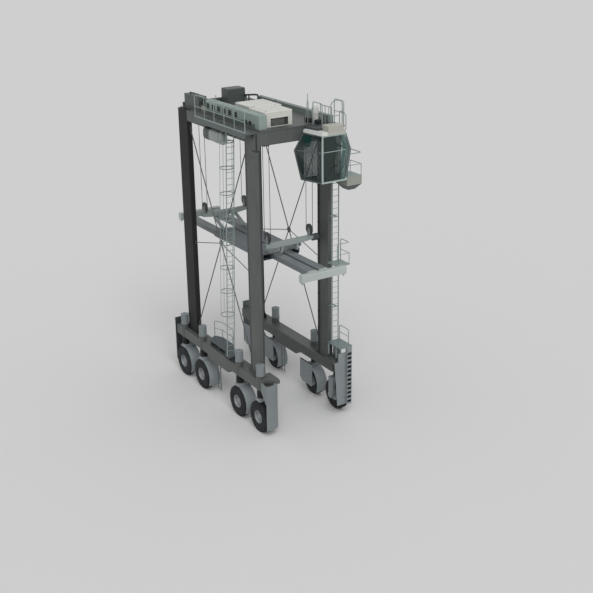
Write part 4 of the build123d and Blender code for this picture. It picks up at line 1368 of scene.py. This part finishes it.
@dataclass
class RoofLines:
    """Pipes, silencer, boxes and rails that stand on the upper frame round the house."""

    silencer_at: Point = (-0.70, 1.22, 15.28)
    stack_at: tuple[float, float] = (3.42, 1.33)
    rail_z: tuple[float, float] = (15.16, 15.56)
    sheave_x: float = 3.1

    def build(self) -> None:
        """Build the rear pipes, silencer, stack's jacket, rails, rope sheaves and filter."""
        self.rear_pipes()
        self.silencer()
        self.stack()
        self.rails()
        self.sheaves()
        self.tank_end()

    def rear_pipes(self) -> None:
        """Run pipes from the rear cabinet to the long one, over a warm grey box."""
        box = block((-2.02, -1.72, DECK), (-1.52, -1.38, 15.02), "pump_box", 0.02)
        dress(box, Coat.TAN, "frame")
        dark = [pipe_run([(-2.10, y, z), (-1.80, y, z), (-1.62, y, z - 0.10),
                          (-1.45, y, z - 0.10)], r)
                for y, z, r in ((-1.70, 15.20, 0.035), (-1.58, 15.26, 0.028),
                                (-1.46, 15.18, 0.04))]
        dark.append(pipe_run([(-3.10, -1.70, 15.40), (-3.10, -1.70, 15.50),
                              (-2.30, -1.70, 15.50), (-2.30, -1.70, 15.40)], 0.03))
        dark += [block((x, -1.66, 15.02), (x + 0.12, -1.48, 15.12), "valve", 0.02)
                 for x in (-1.95, -1.70)]
        dress(merge(dark, "rear_pipes"), Coat.DARK, "frame")

    def silencer(self) -> None:
        """Lay a silencer drum on cradles beside the house, with its pipe down to the rear."""
        place = Matrix.Translation(self.silencer_at) @ Matrix.Rotation(math.pi / 2, 4, "Y")
        drum = lathe(mirrored([(0.03, -0.86), (0.07, -0.85), (0.10, -0.80), (0.105, -0.78)]),
                     "drum", place, 32)
        pipe = pipe_run([(-1.54, 1.22, 15.28), (-1.80, 1.22, 15.26), (-3.05, 1.22, 15.06),
                         (-3.20, 1.22, 14.90)], 0.045)
        cradles = [block((x - 0.02, 1.14, DECK), (x + 0.02, 1.30, 15.20), "cradle", 0.006)
                   for x in (-1.30, -0.10)]
        foot = block((-2.42, 1.19, DECK), (-2.38, 1.25, 15.13), "cradle", 0.004)
        dress(merge([drum, pipe, *cradles, foot], "silencer"), Coat.DARK, "frame")

    def stack(self) -> None:
        """Put the white heat jacket round the exhaust stack, and dark boxes at its foot."""
        jacket = lathe([(0.110, 14.84), (0.150, 14.84), (0.156, 14.86), (0.156, 15.42),
                        (0.150, 15.45), (0.118, 15.47), (0.110, 15.47), (0.110, 14.84)],
                       "stack_jacket", Matrix.Translation((*self.stack_at, 0)), 36)
        dress(jacket, Coat.HOUSE, "frame")
        boxes = [block((3.12, 0.92, 14.712), (3.50, 1.10, 14.98), "box", 0.015),
                 block((3.62, 1.16, 14.712), (3.78, 1.50, 14.90), "box", 0.015)]
        dress(merge(boxes, "stack_boxes"), Coat.BLACK, "frame")

    def rails(self) -> None:
        """Stand rails and a hoop on the cab's platform."""
        foot, (knee, top) = PLATFORM, self.rail_z
        # radius and corners of each run
        runs = (
            (0.02, [(3.60, 1.5, foot), (3.60, 1.5, top), (4.50, 1.5, top), (4.50, 1.5, foot)]),
            (0.016, [(3.60, 1.5, knee), (4.50, 1.5, knee)]),
            (0.016, [(3.98, 1.5, foot), (3.98, 1.5, top)]),
            (0.016, [(4.28, 1.5, foot), (4.28, 1.5, top)]),
            (0.02, [(4.50, 1.94, foot), (4.50, 1.94, 15.30), (4.62, 1.94, 15.38),
                    (4.86, 1.94, 15.34), (5.0, 1.94, 15.20), (5.0, 1.94, 14.47)]),
            (0.016, [(4.50, 1.5, knee), (4.50, 1.94, knee)]))
        dress(merge([pipe_run(points, radius) for radius, points in runs], "platform_rails"),
              Coat.RAIL, "frame")

    def sheaves(self) -> None:
        """Hang a pair of rope sheaves under each end of the cross beams."""
        wheel = lathe(mirrored([(0.02, -0.028), (0.085, -0.028), (0.09, -0.022),
                                (0.075, -0.006)]), "wheel", steps=28)
        upright = Matrix.Rotation(math.pi / 2, 4, "X")
        for end, front in ENDS:
            low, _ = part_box(f"cross_beam_{end}")
            x, z = front * self.sheave_x, low.z
            for word, side in SIDES:
                parts = []
                for y in (side * 1.10, side * 1.26):
                    place = Matrix.Translation((x, y, z - 0.10)) @ upright
                    parts.append(copy_of(wheel, "wheel", place))
                    for step in (-0.045, 0.045):
                        parts.append(block((x - 0.05, y + step - 0.006, z - 0.15),
                                           (x + 0.05, y + step + 0.006, z + 0.005), "cheek",
                                           0.003))
                dress(merge(parts, f"rope_sheaves_{end}_{word}"), Coat.BLACK, "frame")
        discard(wheel)

    def tank_end(self) -> None:
        """Close the fluid tank with a rounded filter housing and its cap."""
        low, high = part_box("fluid_tank")
        body = block((high.x - 0.02, low.y + 0.02, low.z + 0.02),
                     (high.x + 0.34, high.y - 0.02, high.z - 0.02), "body", 0.11)
        place = Matrix.Translation((high.x + 0.14, (low.y + high.y) / 2, high.z - 0.02))
        cap = lathe([(0.05, 0), (0.06, 0.01), (0.06, 0.05), (0.05, 0.06), (0.001, 0.062)],
                    "cap", place, 24)
        dress(merge([body, cap], "tank_filter_housing"), Coat.TANK, "frame", 60)


@dataclass
class House:
    """Fittings of the white house: louvre frame, roof seams, doors, handles and lifting eyes."""

    # the two boxes of the house: x0, x1, y0, y1 and roof height
    boxes: tuple[tuple[float, ...], ...] = ((1.86, 3.30, -1.30, 0.18, 15.45),
                                            (0.06, 1.78, -1.00, 0.56, 15.40))
    # the louvre: y0, y1, z0, z1, and the frame's width
    louvre: tuple[float, ...] = (-1.01, -0.07, 14.79, 15.15)
    frame_w: float = 0.03
    door_z: float = 14.80
    handle_z: tuple[float, float] = (15.0, 15.18)

    def build(self) -> None:
        """Build the house's fittings."""
        self.louvre_frame()
        self.roof()
        self.doors()

    def louvre_frame(self) -> None:
        """Frame the louvre in the front wall, with a drip edge over it."""
        x, w = self.boxes[0][1], self.frame_w
        y0, y1, z0, z1 = self.louvre
        # y0, y1, z0, z1 and depth of each bar
        bars = [block((x - 0.004, a, c), (x + out, b, d), "bar", 0.003) for a, b, c, d, out in (
            (y0 - w, y1 + w, z0 - w, z0, 0.010), (y0 - w, y1 + w, z1, z1 + w, 0.022),
            (y0 - w, y0, z0, z1, 0.010), (y1, y1 + w, z0, z1, 0.010))]
        dress(merge(bars, "louvre_frame"), Coat.HOUSE, "frame")

    def roof(self) -> None:
        """Lay standing seams across each roof and an eye at each corner."""
        seams, eyes = [], []
        for x0, x1, y0, y1, z in self.boxes:
            step = (x1 - x0) / 3
            seam = block((x0 + step - 0.012, y0 + 0.03, z - 0.001),
                         (x0 + step + 0.012, y1 - 0.03, z + 0.012), "seam", 0.003)
            seams.append(row_of(seam, 2, (step, 0, 0), "seams"))
            eyes += [hoop((x, y, z + 0.03), 0.028, 0.008, (16, 8))
                     for x in (x0 + 0.12, x1 - 0.12) for y in (y0 + 0.12, y1 - 0.12)]
        dress(merge(seams, "house_roof_seams"), Coat.HOUSE, "frame")
        dress(merge(eyes, "house_lifting_eyes"), Coat.ZINC, "frame")

    def doors(self) -> None:
        """Hang doors with recessed middles on the left and rear sides."""
        doors, metal = [], []
        z0, (grip0, grip1) = self.door_z, self.handle_z
        for x0, x1, _, y1, z in self.boxes:
            width = (x1 - x0 - 0.24) / 2
            for x in (x0 + 0.10, x0 + 0.14 + width):
                doors.append(self.door((x, y1 - 0.004, z0), (x + width, y1 + 0.014, z - 0.06),
                                       "+Y"))
                metal.append(rod((x + width - 0.05, y1 + 0.026, grip0),
                                 (x + width - 0.05, y1 + 0.026, grip1), 0.007, "handle", 8))
        x0, _, y0, y1, z = self.boxes[1]
        width = (y1 - y0 - 0.24) / 2
        for y in (y0 + 0.10, y0 + 0.14 + width):
            doors.append(self.door((x0 - 0.014, y, z0), (x0 + 0.004, y + width, z - 0.06), "-X"))
            metal.append(rod((x0 - 0.026, y + width - 0.05, grip0),
                             (x0 - 0.026, y + width - 0.05, grip1), 0.007, "handle", 8))
        carry(merge(doors, "house_doors"), "frame")
        dress(merge(metal, "house_handles"), Coat.ZINC, "frame")

    @staticmethod
    def door(low: Point, high: Point, face: str) -> Obj:
        """Model one door with a recessed middle.

        Args:
            low: Lowest corner.
            high: Highest corner.
            face: Outer face.

        Returns:
            The door.
        """
        return panel(low, high, face, 0.03, 0.006, (Coat.HOUSE, Coat.HOUSE))


@dataclass
class Walkway:
    """Bar grating on the walkway's floor."""

    bar_pitch: float = 0.05
    bar_t: float = 0.006
    bar_h: float = 0.012
    margin: float = 0.02
    inner_y: float = -2.14
    floor_z: float = 14.69
    long_count: int = 5

    def build(self) -> None:
        """Lay the grating."""
        low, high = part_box("walkway_right")
        x0, x1 = low.x + self.margin, high.x - self.margin
        y0, y1, z = low.y + self.margin, self.inner_y, self.floor_z
        bar = block((x0, y0, z), (x0 + self.bar_t, y1, z + self.bar_h), "bar", 0.0015)
        bars = row_of(bar, int((x1 - x0) / self.bar_pitch), (self.bar_pitch, 0, 0), "bars")
        bar = block((x0, y0, z + 0.002), (x1, y0 + self.bar_t, z + self.bar_h + 0.002), "bar",
                    0.0015)
        step = (y1 - y0 - self.bar_t) / (self.long_count - 1)
        long_bars = row_of(bar, self.long_count, (0, step, 0), "bars")
        dress(merge([bars, long_bars], "walkway_grating"), Coat.ZINC, "frame")


# Spreader and hoist


@dataclass
class SpreaderDetails:
    """Grooved rims and hub caps of the sheaves, and head-beam bolts."""

    head_x: float = 3.1
    head_top: float = 9.2
    sheave_y: float = 1.18
    sheave_z: float = 9.52
    sheave_r: float = 0.26
    half_t: float = 0.035

    def build(self) -> None:
        """Build one sheave's parts and copy them to the four corners."""
        r, t = self.sheave_r, self.half_t
        profile = mirrored([(r - 0.05, -t - 0.002), (r - 0.004, -t - 0.003), (r, -t),
                            (r + 0.004, 0.008 - t), (r - 0.006, -0.014)])
        rim = lathe(profile + profile[:1], "rim")
        cap = lathe([(0.05, -0.062), (0.05, -0.056), (0.068, -0.054), (0.068, 0.054),
                     (0.05, 0.056), (0.05, 0.062), (0.02, 0.064), (0.001, 0.064)], "cap",
                    steps=24)
        for end, front in ENDS:
            for word, side in SIDES:
                centre = (front * self.head_x, side * self.sheave_y, self.sheave_z)
                place = Matrix.Translation(centre) @ Matrix.Rotation(math.pi / 2, 4, "X")
                dress(copy_of(rim, f"sheave_rim_{end}_{word}", place), Coat.BLACK, "spreader")
                dress(copy_of(cap, f"sheave_cap_{end}_{word}", place), Coat.ZINC, "spreader")
        discard(rim, cap)
        self.bolts()

    def bolts(self) -> None:
        """Set rows of bolts along the top of the head beams."""
        parts, z = [], self.head_top
        for _, front in ENDS:
            for x in (front * (self.head_x - 0.08), front * (self.head_x + 0.08)):
                head = rod((x, -0.98, z), (x, -0.98, z + 0.015), 0.014, "head", 6)
                parts.append(row_of(head, 15, (0, 0.14, 0), "heads"))
        dress(merge(parts, "head_beam_bolts"), Coat.ZINC, "spreader")


@dataclass
class Ropes:
    """Hoist ropes: two falls at each sheave, and the turn below."""

    head_x: float = 3.1
    sheave_y: float = 1.18
    sheave_z: float = 9.52
    ring_r: float = 0.2735
    rope_r: float = 0.013

    def build(self) -> None:
        """Build the falls and the turns round the sheaves."""
        low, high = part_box("hoist_ropes")
        falls, turns = [], []
        # the half turn below a sheave is a ring cut across at the sheave's middle
        turn = cut_above(hoop((0, 0, 0), self.ring_r, self.rope_r, (48, 12)), (0, 0, 0), (0, 0, 1))
        for end in (-1, 1):
            for side in (-1, 1):
                y = side * self.sheave_y
                for step in (-1, 1):
                    x = end * self.head_x + step * self.ring_r
                    fall = rod((x, y, low.z), (x, y, high.z), self.rope_r, "fall", 14)
                    # the thimble's seizing at the upper end
                    cuff = rod((x, y, high.z - 0.14), (x, y, high.z - 0.01), self.rope_r * 1.7,
                               "cuff", 14)
                    add_bevel(cuff, 0.004)
                    falls += [fall, cuff]
                place = Matrix.Translation((end * self.head_x, y, self.sheave_z))
                turns.append(copy_of(turn, "turn", place))
        discard(turn)
        ropes = merge(falls, "hoist_rope_falls")
        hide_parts("hoist_ropes")
        dress(ropes, Coat.ROPE, "spreader")
        ropes.parent = None
        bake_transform(ropes)
        dress(merge(turns, "hoist_rope_turns"), Coat.ROPE, "spreader")


# Cab


@dataclass
class Cab:
    """Fittings of the driver's cab: wipers, a grab rail, and the seat and desk inside."""

    front_x: float = 5.05
    floor_z: float = 12.29
    seat_at: tuple[float, float] = (4.25, 1.25)
    # the left wall leans out by its slope from its foot: x of the rail, then y and z of the foot
    rail_x: float = 4.70
    wall_foot: tuple[float, float] = (1.97, 12.24)
    wall_slope: float = 0.24 / 1.44

    def build(self) -> None:
        """Build the cab's fittings."""
        self.wipers()
        self.grab_rail()
        self.seat()
        self.desk()

    def wipers(self) -> None:
        """Park one wiper across each half of the lower front pane."""
        parts, x, low, high = [], self.front_x - 0.012, 12.44, 13.05
        for y0, y1 in ((0.80, 1.28), (1.42, 1.90)):
            parts += [rod((x, y0, low), (x, y1, high), 0.007, "arm", 8),
                      block((x - 0.004, y1 - 0.006, 12.62), (x + 0.006, y1 + 0.006, 13.36),
                            "blade", 0.002),
                      rod((x - 0.006, y0, low), (x + 0.010, y0, low), 0.022, "pivot", 16)]
        dress(merge(parts, "cab_wipers"), Coat.BLACK, "frame")

    def grab_rail(self) -> None:
        """Fix a grab rail beside the door, on the shell."""
        x, (foot_y, foot_z) = self.rail_x, self.wall_foot
        (low_y, low), (high_y, high) = ((foot_y + self.wall_slope * (z - foot_z), z)
                                        for z in (12.75, 13.45))
        parts = [rod((x, y, z), (x, y + 0.07, z), 0.010, "foot", 10)
                 for y, z in ((low_y, low), (high_y, high))]
        parts.append(rod((x, low_y + 0.07, low - 0.02), (x, high_y + 0.07, high + 0.02), 0.012,
                         "rail", 10))
        dress(merge(parts, "cab_grab_rail"), Coat.RAIL, "frame")

    def cushion(self, low: Point, high: Point, crown: float, axis: int, name: str) -> Obj:
        """Model a padded cushion: a fine box, crowned in the middle and drawn in at its sides.

        Args:
            low: Lowest corner.
            high: Highest corner.
            crown: How far the middle stands proud in metres.
            axis: Axis that the crown stands out along.
            name: Name of the piece.

        Returns:
            The cushion.
        """
        piece = block(low, high, name)
        bpy.ops.object.mode_set(mode="EDIT")
        bpy.ops.mesh.select_all(action="SELECT")
        bpy.ops.mesh.subdivide(number_cuts=11)
        bpy.ops.object.mode_set(mode="OBJECT")
        centre = (Vector(low) + Vector(high)) / 2
        half = (Vector(high) - Vector(low)) / 2
        flat = [i for i in range(3) if i != axis]
        for vertex in piece.data.vertices:
            u, v = ((vertex.co[i] - centre[i]) / half[i] for i in flat)
            w = (vertex.co[axis] - centre[axis]) / half[axis]
            if w > 0:
                vertex.co[axis] += w * crown * (1 - u * u) * (1 - v * v)
            # sides pull in between the corners
            vertex.co[flat[0]] -= 0.010 * u * (1 - v * v)
            vertex.co[flat[1]] -= 0.010 * v * (1 - u * u)
            # stitched channels across the pad
            if w > 0.9 and abs(abs(u) - 0.545) < 0.06:
                vertex.co[axis] -= 0.008
        add_bevel(piece, 0.022, 3)
        select_only(piece)
        smooth = piece.modifiers.new("soft", "SUBSURF")
        smooth.levels = smooth.render_levels = 1
        bpy.ops.object.modifier_apply(modifier=smooth.name)
        return piece

    def seat(self) -> None:
        """Model the seat: suspension base, arm pods with joysticks, cushion, back and headrest."""
        x, y, z = *self.seat_at, self.floor_z
        base = [block((x - 0.16, y - 0.16, z), (x + 0.16, y + 0.16, z + 0.06), "plate", 0.012),
                rod((x, y, z + 0.05), (x, y, z + 0.24), 0.055, "column", 20),
                block((x - 0.20, y - 0.20, z + 0.22), (x + 0.20, y + 0.20, z + 0.31), "carrier",
                      0.02)]
        for arm in (y - 0.26, y + 0.26):
            base += [block((x - 0.14, arm - 0.045, z + 0.44), (x + 0.24, arm + 0.045, z + 0.53),
                           "pod", 0.015),
                     rod((x + 0.18, arm, z + 0.52), (x + 0.20, arm, z + 0.66), 0.012, "stick", 10),
                     block((x + 0.175, arm - 0.022, z + 0.65),
                           (x + 0.225, arm + 0.022, z + 0.72), "grip", 0.016)]
        base = merge(base, "seat_base")
        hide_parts("cab_seat")
        dress(base, Coat.DARK, "frame")
        # x, half width and z of the pad's corners, its crown, the crown's axis and its name
        for (x0, x1), w, (z0, z1), crown, axis, name in (
                ((-0.22, 0.24), 0.215, (0.32, 0.42), 0.022, 2, "seat_cushion"),
                ((-0.26, -0.17), 0.20, (0.42, 0.98), 0.02, 0, "seat_back"),
                ((-0.26, -0.19), 0.11, (1.0, 1.12), 0.012, 0, "seat_headrest")):
            pad = self.cushion((x + x0, y - w, z + z0), (x + x1, y + w, z + z1), crown, axis, name)
            dress(pad, Coat.SEAT, "frame", 60)

    def desk(self) -> None:
        """Model the desk in front of the seat: a column with a screen, and two pedals."""
        z = self.floor_z
        parts = [block((4.74, 1.02, z), (4.86, 1.48, z + 0.62), "column", 0.03),
                 block((4.68, 0.92, z + 0.60), (4.92, 1.58, z + 0.70), "top", 0.03),
                 block((4.80, 0.98, z + 0.74), (4.84, 1.30, z + 0.96), "screen", 0.012),
                 rod((4.82, 1.14, z + 0.68), (4.82, 1.14, z + 0.76), 0.015, "stalk", 10)]
        for y in (1.10, 1.34):
            parts += [block((4.52, y - 0.05, z + 0.03), (4.68, y + 0.05, z + 0.05), "pedal",
                            0.008),
                      rod((4.66, y, z + 0.04), (4.76, y, z + 0.16), 0.012, "pedal arm", 8)]
        dress(merge(parts, "cab_desk"), Coat.DARK, "frame")


def main() -> None:
    """Build the scene in order."""
    logging.basicConfig(level=logging.INFO, format="%(message)s")
    Studio().build()
    FrameNodes().dress()
    for assembly in (Wheels, LegDetails, FrameDetails, LongCabinet, RoofLines, House, Walkway,
                     SpreaderDetails, Ropes, Cab):
        assembly().build()


if __name__ == "__main__":
    main()
